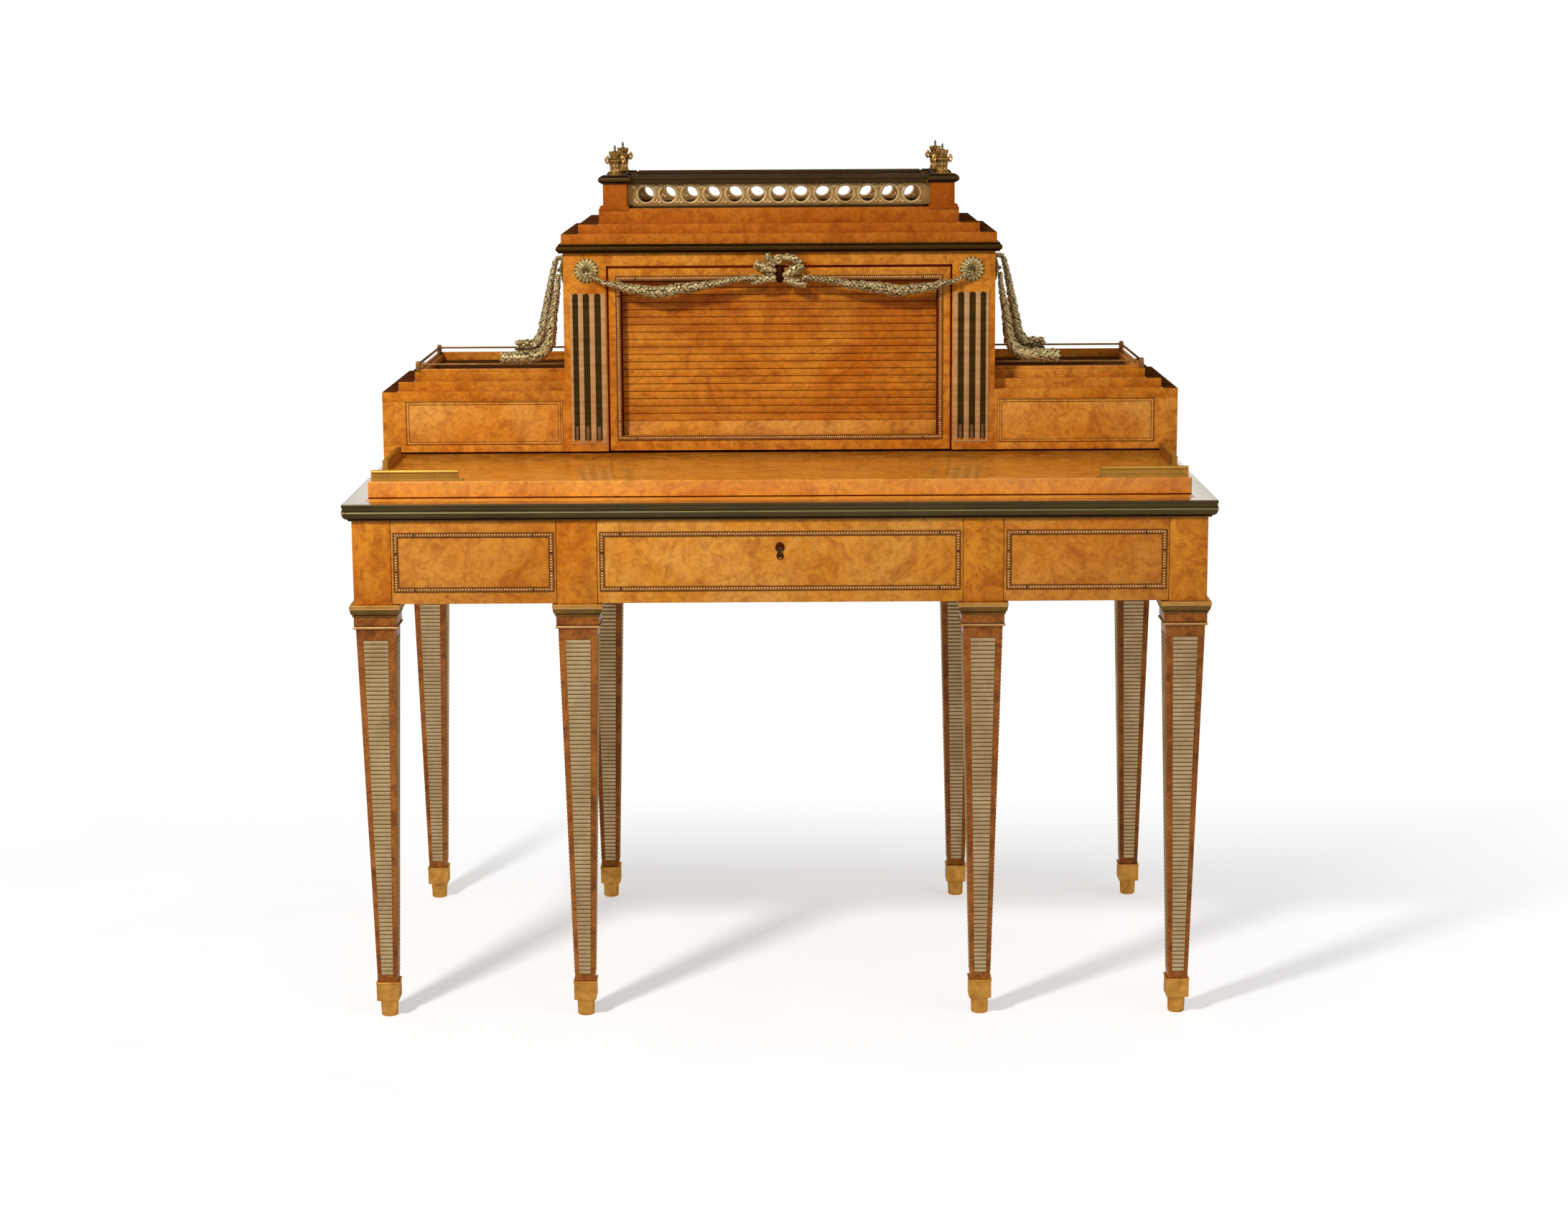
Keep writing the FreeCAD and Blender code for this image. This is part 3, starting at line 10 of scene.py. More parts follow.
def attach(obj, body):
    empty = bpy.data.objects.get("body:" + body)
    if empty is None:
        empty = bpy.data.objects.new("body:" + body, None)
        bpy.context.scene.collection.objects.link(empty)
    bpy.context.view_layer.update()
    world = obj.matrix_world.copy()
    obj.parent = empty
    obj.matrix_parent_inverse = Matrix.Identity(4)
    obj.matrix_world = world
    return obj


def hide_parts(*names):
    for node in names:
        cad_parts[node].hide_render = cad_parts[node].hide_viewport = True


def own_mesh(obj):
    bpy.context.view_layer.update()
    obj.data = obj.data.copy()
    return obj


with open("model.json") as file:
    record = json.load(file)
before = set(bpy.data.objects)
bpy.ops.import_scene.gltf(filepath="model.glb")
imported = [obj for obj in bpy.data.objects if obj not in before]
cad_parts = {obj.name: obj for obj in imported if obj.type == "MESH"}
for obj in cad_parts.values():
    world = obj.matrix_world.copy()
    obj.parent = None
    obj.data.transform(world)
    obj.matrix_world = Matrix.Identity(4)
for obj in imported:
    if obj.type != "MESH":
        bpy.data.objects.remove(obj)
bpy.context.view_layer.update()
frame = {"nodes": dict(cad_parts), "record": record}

bl_info = {
    "name": "Tambour writing desk",
    "version": (1, 0, 0),
    "blender": (4, 5, 0),
    "location": "3D View > Sidebar > Desk",
    "description": "Burr veneer and gilt bronze pieces for the writing desk",
    "category": "Object",
}

# Pieces are modelled in millimetres and brought to metres when they are finished
MM = 0.001
NODE_BODY = {node: body for body, nodes in frame["record"]["behaviour"]["bodies"].items()
             for node in nodes}

# Places that several pieces share, in millimetres
LEGS = [(x, y) for x in (-587, -293.5, 293.5, 587) for y in (-321, 321)]
SHAFT_Z, SHAFT_HALF = (54, 590), (14.5, 28.5)
FRIEZE_X, FRIEZE_Y = 617, 351
CASE_Y = 9
CABINET_X = 333
ROSETTE_X, ROSETTE_Z = 297, 1083
SIDE_ROSETTE_Y = (33, 325)
POST_X, POST_Y = 254.5, (87.5, 314)
POSTS = [(x, y) for x in (-POST_X, POST_X) for y in POST_Y]
ATTIC_Z, POST_TOP, CAP_TOP = 1175, 1213, 1225.6

# Vertices closer than this are joined, in millimetres, and edges sharper than this stay sharp
SAME_PLACE = 1e-4
CREASE = math.radians(35)
# In a copy of a node: the first again, in metres, the bend under which faces are one, and the
# bend over which an edge is rounded
NODE_SAME_PLACE = 1e-5
NODE_FLAT, NODE_CORNER = math.radians(2), math.radians(50)

# The lamp at the left of the front and the camera, in metres, degrees and pixels
LAMP = Vector((-1.556, -2.357, 2.75))
LAMP_AIM = Vector((0, -0.1, 0.75))
CAMERA = Vector((0.0149, -4.5574, 1.3844))
YAW, PITCH, ROLL = -0.13, -10.28, -0.33
FOCAL_LENGTH, IMAGE_WIDTH = 4115.35, 2184
SENSOR_MM = 36

# Half the floor's width, in metres, and where it has faded to white: axis, start and end
FLOOR_HALF = 60
FADES = (("X", 0.85, 1.6), ("X", -1.1, -1.8), ("Y", 0.45, 1.0), ("Y", -0.95, -1.7))

FINISHES = {}


def srgb(red, green, blue):
    """A colour given as it shows on a screen, in the linear values of a shader."""
    shares = [value / 255 for value in (red, green, blue)]
    return tuple(s / 12.92 if s < 0.04045 else ((s + 0.055) / 1.055) ** 2.4 for s in shares)


# Modelling tools

def outward(bm):
    """Turn the faces of closed shapes outwards."""
    bmesh.ops.recalc_face_normals(bm, faces=bm.faces)
    return bm


def merged(bm):
    """Join vertices in the same place and turn the faces outwards."""
    bmesh.ops.remove_doubles(bm, verts=bm.verts, dist=SAME_PLACE)
    return outward(bm)


def block(bm, low, high, round_off=0.0):
    """A board between two corners, with its edges rounded."""
    verts = bmesh.ops.create_cube(bm, size=1)["verts"]
    size = [top - bottom for bottom, top in zip(low, high)]
    middle = [(top + bottom) / 2 for bottom, top in zip(low, high)]
    bmesh.ops.scale(bm, vec=size, verts=verts)
    bmesh.ops.translate(bm, vec=middle, verts=verts)
    if round_off:
        edges = list({edge for vert in verts for edge in vert.link_edges})
        round_edges(bm, edges, min(round_off, min(size) * 0.3))


def mirrored_blocks(bm, low, high, round_off=0.0):
    """A board at the right and its mirror image at the left."""
    block(bm, (-high[0], *low[1:]), (-low[0], *high[1:]), round_off)
    block(bm, low, high, round_off)


def round_edges(bm, edges, width):
    bmesh.ops.bevel(bm, geom=edges, offset=width, offset_type="OFFSET", segments=2,
                    profile=0.5, affect="EDGES", clamp_overlap=True, material=-1)


def drum(bm, radius, start, end, segments):
    """A rod from one point to another."""
    start, end = Vector(start), Vector(end)
    turn = (end - start).to_track_quat("Z", "Y").to_matrix().to_4x4()
    bmesh.ops.create_cone(bm, cap_ends=True, segments=segments, radius1=radius, radius2=radius,
                          depth=(end - start).length,
                          matrix=Matrix.Translation((start + end) / 2) @ turn)


def spun(bm, segments):
    """Everything drawn so far, turned once about +Z."""
    bmesh.ops.spin(bm, geom=bm.verts[:] + bm.edges[:], cent=(0, 0, 0), axis=(0, 0, 1),
                   angle=math.tau, steps=segments, use_merge=True)
    return merged(bm)


def turned(profile, segments):
    """A body turned about +Z from radius and height pairs, which start and end on the axis."""
    bm = bmesh.new()
    verts = [bm.verts.new((radius, 0, height)) for radius, height in profile]
    for pair in zip(verts, verts[1:]):
        bm.edges.new(pair)
    return spun(bm, segments)


def ring(major, minor, major_segments, minor_segments, flat=1.0):
    """A ring about +Z whose section is a circle, flattened along Z."""
    bm = bmesh.new()
    circle = bmesh.ops.create_circle(bm, segments=minor_segments, radius=minor)["verts"]
    bmesh.ops.rotate(bm, verts=circle, matrix=Matrix.Rotation(math.pi / 2, 3, "X"))
    bmesh.ops.scale(bm, vec=(1, 1, flat), verts=circle)
    bmesh.ops.translate(bm, vec=(major, 0, 0), verts=circle)
    return spun(bm, major_segments)


def loft(bm, sections, closed=False):
    """A skin through rings of as many points, capped at both ends or closed on itself."""
    ring_verts = [bm.verts.new(point) for point in sections[0]]
    edges = [bm.edges.new(pair) for pair in zip(ring_verts, ring_verts[1:] + ring_verts[:1])]
    first_verts, first_edges = ring_verts, edges
    for section in sections[1:]:
        made = bmesh.ops.extrude_edge_only(bm, edges=edges)["geom"]
        fresh = {item for item in made if isinstance(item, bmesh.types.BMVert)}
        following = []
        for vert, point in zip(ring_verts, section):
            reached = next(edge.other_vert(vert) for edge in vert.link_edges
                           if edge.other_vert(vert) in fresh)
            reached.co = point
            following.append(reached)
        ring_verts = following
        edges = [item for item in made if isinstance(item, bmesh.types.BMEdge)
                 and item.verts[0] in fresh and item.verts[1] in fresh]
    if closed:
        bmesh.ops.bridge_loops(bm, edges=first_edges + edges)
    else:
        bm.faces.new(first_verts)
        bm.faces.new(ring_verts)


def push_out(bm, face, by):
    """Draw a face out into a solid."""
    made = bmesh.ops.extrude_face_region(bm, geom=[face])["geom"]
    moved = [item for item in made if isinstance(item, bmesh.types.BMVert)]
    bmesh.ops.translate(bm, vec=by, verts=moved)


def moulding(bm, low, high, profile, closed=True):
    """A profile of outward offsets and heights carried round a rectangle, with mitred corners."""
    loft(bm, [[(low[0] - out, low[1] - out, z), (high[0] + out, low[1] - out, z),
               (high[0] + out, high[1] + out, z), (low[0] - out, high[1] + out, z)]
              for out, z in profile], closed)


def square_moulding(bm, x, y, half, profile, closed=True):
    moulding(bm, (x - half, y - half), (x + half, y + half), profile, closed)


def straight_moulding(bm, half, start, end, z):
    """A profile with two like sides run between two points. Returns the way along and across."""
    section = half + [(-out, up) for out, up in reversed(half)]
    along = Vector((*end, 0)) - Vector((*start, 0))
    across = Vector((0, 0, 1)).cross(along.normalized())
    loft(bm, [[Vector((*point, z)) + across * out + Vector((0, 0, up)) for out, up in section]
              for point in (start, end)])
    return along, across


def flat_frames(bm, low, high, ground, rows):
    """Bands round an upright panel, from rows of inner edge, outer edge, rise and look."""
    for inner, outer, rise, look in rows:
        flat = bmesh.new()
        moulding(flat, (low.x, low.z), (high.x, high.z),
                 [(-inner, 0), (-inner, rise), (-outer, rise), (-outer, 0)])
        marked(outward(flat).faces, look)
        stamp(bm, flat, [Matrix.Translation((0, ground, 0)) @ FACING_FRONT])


def arc(middle, radii, start, end, steps):
    """Points on a part of an ellipse, with the angles in degrees."""
    points = []
    for step in range(steps + 1):
        angle = math.radians(start + (end - start) * step / steps)
        points.append((middle[0] + radii[0] * math.cos(angle),
                       middle[1] + radii[1] * math.sin(angle)))
    return points


def circle_angles(count):
    """Even steps round a full turn."""
    return [math.tau * k / count for k in range(count)]


def marked(faces, look):
    """Give faces one of their piece's looks, by its place in the list."""
    for face in faces:
        face.material_index = look


def stamp(bm, shape, matrices):
    """Copies of a small shape, one for each matrix."""
    mesh = bpy.data.meshes.new("stamp")
    shape.to_mesh(mesh)
    for matrix in matrices:
        copy = mesh.copy()
        copy.transform(matrix)
        if matrix.determinant() < 0:
            copy.flip_normals()
        bm.from_mesh(copy)
        bpy.data.meshes.remove(copy)
    bpy.data.meshes.remove(mesh)
    shape.free()


def move(*place):
    return Matrix.Translation(place)


def rotate(angle, axis):
    return Matrix.Rotation(angle, 4, axis)


def sized(x, y, z):
    return Matrix.Diagonal((x, y, z, 1))


FACING_FRONT = rotate(math.pi / 2, "X")


def finish(name, bm, looks, node, beside=False):
    """Make a mesh into a piece of the desk that rides where a node does, in its place."""
    bmesh.ops.scale(bm, vec=(MM, MM, MM), verts=bm.verts)
    for face in bm.faces:
        face.smooth = True
    for edge in bm.edges:
        edge.smooth = edge.is_manifold and edge.calc_face_angle() < CREASE
    mesh = bpy.data.meshes.new(name)
    bm.to_mesh(mesh)
    bm.free()
    piece = bpy.data.objects.new(name, mesh)
    bpy.context.scene.collection.objects.link(piece)
    for look in looks.split():
        mesh.materials.append(FINISHES[look])
    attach(piece, NODE_BODY[node])
    if not beside:
        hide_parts(node)
    return piece


def boards_of(node):
    """The lowest and highest corners, in millimetres, of each board of a node of plain boards."""
    mesh = frame["nodes"][node].data
    boards = []
    for start in range(0, len(mesh.polygons), 12):
        points = [mesh.vertices[index].co / MM for polygon in mesh.polygons[start:start + 12]
                  for index in polygon.vertices]
        boards.append((Vector(map(min, zip(*points))), Vector(map(max, zip(*points)))))
    return boards


def reach_of(boards):
    """The lowest and the highest corner of all the boards together."""
    lows, highs = zip(*boards)
    return Vector(map(min, zip(*lows))), Vector(map(max, zip(*highs)))


def dress_boards(node, look, name):
    """Plain boards of a node with rounded edges."""
    bm = bmesh.new()
    for low, high in boards_of(node):
        block(bm, low, high, bpy.context.scene.desk_sizes.wood_edge / MM)
    return finish(name, bm, look, node)


def dress_solid(node, look, name):
    """A copy of a node of shaped wood, with its faces merged and its edges rounded."""
    bm = bmesh.new()
    bm.from_mesh(frame["nodes"][node].data)
    bmesh.ops.remove_doubles(bm, verts=bm.verts, dist=NODE_SAME_PLACE)
    bmesh.ops.dissolve_limit(bm, angle_limit=NODE_FLAT, verts=bm.verts, edges=bm.edges)
    bmesh.ops.scale(bm, vec=(1 / MM,) * 3, verts=bm.verts)
    corners = [edge for edge in bm.edges
               if edge.is_manifold and edge.calc_face_angle() > NODE_CORNER]
    round_edges(bm, corners, bpy.context.scene.desk_sizes.wood_edge / MM)
    return finish(name, bm, look, node)


def paint(look, *nodes):
    """Give nodes that stay as they are a finish of their own."""
    for node in nodes:
        for slot in frame["nodes"][node].material_slots:
            slot.material = FINISHES[look]


# Finishes

class Nodes:
    """A node tree in the making."""

    def __init__(self, tree):
        self.tree = tree

    def add(self, kind, inputs=None, **settings):
        made = self.tree.nodes.new(kind)
        for key, value in settings.items():
            setattr(made, key, value)
        for key, value in (inputs or {}).items():
            self.put(made.inputs[key], value)
        return made

    def put(self, socket, value):
        if isinstance(value, bpy.types.NodeSocket):
            self.tree.links.new(value, socket)
        else:
            socket.default_value = value

    def math(self, operation, first, second=0.0):
        return self.add("ShaderNodeMath", {0: first, 1: second}, operation=operation).outputs[0]

    def spread(self, value, low, high, new_low=0.0, new_high=1.0):
        """Stretch a part of a pattern's range over another range."""
        return self.add("ShaderNodeMapRange", {
            "Value": value, "From Min": low, "From Max": high, "To Min": new_low,
            "To Max": new_high}).outputs["Result"]

    def seen(self):
        """1 for rays that an eye, a gloss or a glass sends, and 0 for light."""
        rays = self.add("ShaderNodeLightPath").outputs
        seen = self.math("MAXIMUM", rays["Is Camera Ray"], rays["Is Glossy Ray"])
        return self.math("MAXIMUM", seen, rays["Is Transmission Ray"])


class Finish(Nodes):
    """A material in the making, with its shader and its place on the piece at hand."""

    def __init__(self, name, shift=(0, 0, 0), turn=(0, 0, 0), stretch=(1, 1, 1)):
        self.material = bpy.data.materials.new(name)
        self.material.use_nodes = True
        super().__init__(self.material.node_tree)
        self.shader = self.tree.nodes["Principled BSDF"]
        place = self.add("ShaderNodeTexCoord")
        self.place = self.add("ShaderNodeMapping", {
            "Vector": place.outputs["Object"], "Location": shift, "Rotation": turn,
            "Scale": stretch}).outputs["Vector"]

    def noise(self, scale, detail=2.0, roughness=0.5, distortion=0.0, place=None):
        return self.add("ShaderNodeTexNoise", {
            "Vector": self.place if place is None else place, "Scale": scale, "Detail": detail,
            "Roughness": roughness, "Distortion": distortion}).outputs["Fac"]

    def mix(self, share, first, second):
        first, second = ((*value, 1) if isinstance(value, tuple) else value
                         for value in (first, second))
        return self.add("ShaderNodeMix", {0: share, 6: first, 7: second}, data_type="RGBA",
                        blend_type="MIX").outputs[2]

    def vector(self, operation, inputs):
        return self.add("ShaderNodeVectorMath", inputs, operation=operation).outputs[0]

    def warped(self, scale, amount):
        """The place on the piece, pushed about by a coarse pattern."""
        pattern = self.add("ShaderNodeTexNoise", {"Vector": self.place, "Scale": scale,
                                                  "Detail": 3.0}).outputs["Color"]
        centred = self.vector("SUBTRACT", {0: pattern, 1: (0.5, 0.5, 0.5)})
        scaled = self.vector("SCALE", {0: centred, "Scale": amount})
        return self.vector("ADD", {0: self.place, 1: scaled})

    def bump(self, height, strength, distance):
        made = self.add("ShaderNodeBump", {"Strength": strength, "Distance": distance,
                                           "Height": height})
        self.put(self.shader.inputs["Normal"], made.outputs["Normal"])

    def set(self, **values):
        for key, value in values.items():
            self.put(self.shader.inputs[key.replace("_", " ")], value)
        return self.material


def veneer(name, pale, warm, deep, shift, eyes, stretch=(1, 1, 1), gloss=0.34, shine=0.1,
           strength=1.0, bands=None):
    """French-polished burr veneer: clouds of figure, fine veins, and dark eyes with swirls."""
    wood = Finish(name, shift, stretch=stretch)
    flow = wood.warped(8, 0.06)
    clouds = wood.noise(6, 3, 0.55, 0.6, flow)
    patches = wood.noise(24, 6, 0.62, 1.1, flow)
    streaks = wood.noise(150, 5, 0.62, 0.8, flow)
    curls = wood.noise(70, 5, 0.6, 0.8, flow)
    tone = wood.mix(wood.spread(clouds, 0.38, 0.62), warm, pale)
    tone = wood.mix(wood.spread(patches, 0.52, 0.34, 0, 0.5 * strength), tone, deep)
    tone = wood.mix(wood.spread(patches, 0.54, 0.68, 0, 0.8), tone, pale)
    tone = wood.mix(wood.spread(curls, 0.52, 0.34, 0, 0.5 * strength), tone, deep)
    tone = wood.mix(wood.spread(streaks, 0.54, 0.36, 0, 0.34 * strength), tone, deep)
    dark = tuple(value * share for value, share in zip(deep, (0.42, 0.30, 0.3)))
    lines = wood.math("ABSOLUTE", wood.math("SUBTRACT", wood.noise(8, 4, 0.5, 1.0, flow), 0.5))
    broken = wood.spread(wood.noise(19, 3, 0.6), 0.46, 0.60)
    veins = wood.math("MULTIPLY", wood.spread(lines, 0.006, 0.0, 0, 0.28), broken)
    tone = wood.mix(veins, tone, dark)
    cells = wood.add("ShaderNodeTexVoronoi", {"Vector": flow, "Scale": 62.0, "Randomness": 1.0})
    distance = cells.outputs["Distance"]
    groups = wood.spread(wood.noise(13, 3, 0.6, 0.5), 0.53, 0.66)
    swirls = wood.math("SINE", wood.math("MULTIPLY", distance, 34.0))
    swirls = wood.math("MULTIPLY", wood.spread(swirls, 0.2, 1.0, 0, 0.4), groups)
    tone = wood.mix(wood.math("MULTIPLY", swirls, eyes), tone, deep)
    spots = wood.math("MULTIPLY", wood.spread(distance, 0.17, 0.05), groups)
    tone = wood.mix(wood.math("MULTIPLY", spots, eyes), tone, dark)
    if bands:
        heights = wood.add("ShaderNodeSeparateXYZ", {0: wood.place}).outputs["Z"]
        slat = wood.math("FLOOR", wood.math("MULTIPLY", heights, 1 / bands))
        lot = wood.add("ShaderNodeTexWhiteNoise", {"W": slat}, noise_dimensions="1D")
        tone = wood.mix(wood.spread(lot.outputs["Value"], 0, 1, 0.0, 0.38), tone, deep)
    wood.bump(streaks, 0.1, 0.0002)
    rough = wood.spread(patches, 0.3, 0.7, gloss - 0.04, gloss + 0.06)
    return wood.set(Base_Color=tone, Roughness=rough, Specular_IOR_Level=shine)


def plain_wood(name, pale, dark, turn, gloss, shine):
    """Straight-grained timber with its grain along X before it is turned."""
    wood = Finish(name, turn=turn, stretch=(1, 14, 14))
    bands = wood.noise(9, 6, 0.62, 0.6)
    pores = wood.noise(60, 4, 0.7)
    tone = wood.mix(wood.spread(bands, 0.35, 0.66), dark, pale)
    tone = wood.mix(wood.spread(pores, 0.42, 0.34, 0, 0.5), tone, dark)
    wood.bump(pores, 0.15, 0.0003)
    rough = wood.spread(bands, 0.3, 0.7, gloss, gloss + 0.15)
    return wood.set(Base_Color=tone, Roughness=rough, Specular_IOR_Level=shine)


def bronze(name, bright, dull, rough, wear_scale, contrast, graze, relief=0.0002):
    """Gilt or patinated bronze, brighter where it is rubbed and duller in patches."""
    metal = Finish(name)
    patches = metal.noise(wear_scale, 4, 0.6, 0.3)
    fine = metal.noise(wear_scale * 9, 3, 0.6)
    worn = metal.spread(patches, 0.28, 0.72, 0.5 - contrast / 2, 0.5 + contrast / 2)
    tone = metal.mix(worn, dull, bright)
    tone = metal.mix(metal.spread(fine, 0.5, 0.34, 0, 0.35 * contrast), tone, dull)
    metal.bump(metal.math("ADD", patches, fine), 0.2, relief)
    gloss = metal.spread(patches, 0.3, 0.7, rough + 0.06, rough - 0.04)
    return metal.set(Base_Color=tone, Metallic=1.0, Roughness=gloss,
                     Specular_Tint=(*graze, 1.0))


# Tones are names of the panel's colours, or as they show on a screen. Veneers have a pale, a warm
# and a deep tone, the shift of the figure, the strength of its eyes, and what else differs
VENEERS = {
    "frieze": ("honey", "amber", "chestnut", (0, 0, 0), 0.8, {}),
    "drawer": ("straw", "honey", "chestnut", (0.4, 0.2, 0.1), 0.8, {"strength": 0.75}),
    "side_drawer": ((208, 136, 52), (198, 120, 32), "chestnut", (0.6, 0.3, 0.8), 0.8,
                    {"strength": 0.8}),
    "leg": ((176, 106, 44), (150, 84, 30), (84, 38, 10), (0.9, 0.5, 0.7), 0.6, {}),
    "case": ((214, 142, 52), (204, 124, 32), "chestnut", (1.7, 0.3, 0.5), 0.6, {"shine": 0.03}),
    "step": ((190, 110, 32), (176, 94, 24), "chestnut", (1.1, 0.7, 0.3), 0.6, {"shine": 0.02}),
    "wing": ((214, 142, 52), (204, 124, 32), "chestnut", (1.9, 0.1, 0.4), 0.6, {"shine": 0.03}),
    "post": ((170, 90, 26), (150, 76, 20), "chestnut", (0.3, 0.9, 0.2), 0.4, {"shine": 0.0}),
    # The ledge veneer is dark partly as a darker tone of its own and partly as painted shade on the
    # step tops and in the wing trays
    "ledge": ((104, 58, 24), (84, 46, 20), (52, 24, 8), (2.1, 1.7, 0.6), 0.3, {"shine": 0.0}),
    "panel": ("straw", "honey", "chestnut", (2.3, 0.8, 0.1), 0.8, {"strength": 0.8}),
    "slat": ("honey", "amber", "chestnut", (3.1, 0.6, 0.2), 1.0,
             {"stretch": (0.8, 1, 1), "bands": 0.01135, "strength": 0.9}),
    "slab": ((230, 154, 54), (220, 138, 36), (164, 78, 12), (4.3, 0.2, 0.9), 0.6,
             {"strength": 0.8, "gloss": 0.16, "shine": 0.35}),
}
# Plain timbers have a pale and a dark tone, the turn of the grain, the roughness and the shine
ACROSS, UPRIGHT, FRONT_TO_BACK = (0, 0, 0), (0, math.pi / 2, 0), (0, 0, math.pi / 2)
TIMBERS = {
    # seam_shadow is painted shade: dark strips put in seams and recesses where shade falls
    "seam": ("seam_shadow", (96, 28, 4), (70, 16, 2), ACROSS, 0.8, 0.0),
    "string": ("string_line", (112, 66, 22), (86, 46, 12), ACROSS, 0.5, 0.05),
    "oak": ("oak", (176, 132, 84), (122, 82, 44), ACROSS, 0.5, 0.3),
    "oak_deep": ("oak_across", (170, 126, 80), (118, 80, 44), FRONT_TO_BACK, 0.5, 0.3),
    "inlay": ("dark_inlay", (66, 48, 14), (44, 30, 8), UPRIGHT, 0.7, 0.05),
    "reed": ("reed_filling", (128, 94, 60), (92, 62, 34), UPRIGHT, 0.5, 0.1),
    "fillet": ("pale_fillet", (198, 154, 104), (166, 120, 72), UPRIGHT, 0.45, 0.1),
}
# Metals have a bright and a dull tone, the roughness, the scale and the contrast of their wear,
# and the tint at a grazing angle
PALE, DARK = (0.7, 0.56, 0.38), (0.3, 0.2, 0.12)
METALS = {
    "gilt": ("gilt_bronze", "gilt", "dull_gilt", 0.4, 60, 0.7, PALE),
    "leaf": ("leaf_gilt", (208, 190, 144), (144, 122, 78), 0.6, 120, 0.7, PALE),
    # leaf_hollow is painted shade: the dark cores of the garlands and the bow's tails, and the dark
    # disc and boss of the rosettes, stand for shade between leaves and petals
    "leaf_deep": ("leaf_hollow", (104, 84, 50), (66, 50, 26), 0.65, 120, 0.7, PALE),
    "petal": ("petal_gilt", (188, 170, 118), (126, 104, 62), 0.58, 120, 0.7, PALE),
    "finial": ("finial_bronze", (196, 154, 92), (112, 76, 32), 0.42, 70, 0.9, PALE),
    "knot": ("knot_shadow", (64, 30, 14), (40, 14, 6), 0.6, 60, 0.7, DARK),
    "bar": ("gallery_bar", (146, 106, 58), (96, 66, 32), 0.42, 20, 0.6, (0.4, 0.3, 0.2)),
    "spire": ("finial_spire", (120, 108, 88), (84, 72, 54), 0.45, 40, 0.7, PALE),
    "fret": ("fret_bronze", (196, 168, 118), (134, 100, 54), 0.45, 50, 0.7, PALE),
    # The fret plates' bronze is darker as painted shade, for the far frets seen from behind
    "fret_fill": ("fret_filling", (168, 132, 76), (110, 78, 38), 0.5, 90, 0.7, PALE),
    "escutcheon": ("escutcheon_bronze", (74, 34, 10), (48, 16, 4), 0.5, 40, 0.7, DARK),
    "coping": ("coping_bronze", (78, 58, 34), (44, 32, 16), 0.4, 14, 0.5, (0.3, 0.22, 0.14)),
    "edge": ("edge_bronze", (88, 74, 46), (52, 42, 24), 0.34, 8, 0.5, (0.4, 0.34, 0.26)),
    "land": ("polished_land", (196, 184, 166), (176, 162, 140), 0.1, 6, 0.4, (1.0, 1.0, 1.0),
             0.00002),
    "line": ("edge_line", (140, 130, 88), (96, 86, 50), 0.4, 10, 0.5, PALE),
    "cornice": ("cornice_bronze", (76, 52, 20), (44, 28, 8), 0.32, 9, 0.5, (0.35, 0.26, 0.16)),
    "capital": ("capital_bronze", (124, 92, 46), (82, 58, 26), 0.42, 24, 0.6, PALE),
    "abacus": ("capital_band", (194, 142, 72), (152, 104, 46), 0.42, 24, 0.6, PALE),
    "rib": ("rib_brass", (190, 166, 126), (142, 116, 78), 0.42, 18, 0.7, PALE),
    # rib_groove is painted shade: the dark plate that shows between the ribs
    "groove": ("rib_groove", (118, 88, 52), (84, 60, 32), 0.6, 60, 0.7, PALE),
    "lip": ("astragal_brass", (194, 150, 98), (150, 108, 60), 0.46, 20, 0.5, PALE),
    "rail": ("rail_brass", (192, 144, 66), (142, 100, 36), 0.46, 16, 0.6, PALE),
    "bead": ("bead_brass", (218, 172, 116), (172, 126, 74), 0.44, 40, 0.6, PALE),
    "ground": ("bead_ground", (164, 106, 52), (124, 74, 32), 0.5, 60, 0.7, PALE),
    "pin": ("bead_line", (96, 58, 24), (64, 34, 12), 0.55, 60, 0.7, PALE),
    "steel": ("lock_steel", (150, 148, 144), (92, 90, 88), 0.38, 70, 0.7, (0.9, 0.9, 0.9)),
}


def make_finishes():
    """Make every finish of the desk."""
    colours = bpy.context.scene.desk_colours

    def tone(value):
        return tuple(getattr(colours, value)) if isinstance(value, str) else srgb(*value)

    for key, (pale, warm, deep, shift, eyes, others) in VENEERS.items():
        FINISHES[key] = veneer(key + "_veneer", tone(pale), tone(warm), tone(deep), shift, eyes,
                               **others)
    for maker, table in ((plain_wood, TIMBERS), (bronze, METALS)):
        for key, (name, pale, dark, *others) in table.items():
            FINISHES[key] = maker(name, tone(pale), tone(dark), *others)


# Stage: floor, light and camera

def placed(name, data, matrix=Matrix()):
    """The floor, a lamp or the camera in its place."""
    made = bpy.data.objects.new(name, data)
    made.matrix_world = matrix
    bpy.context.scene.collection.objects.link(made)
    return made


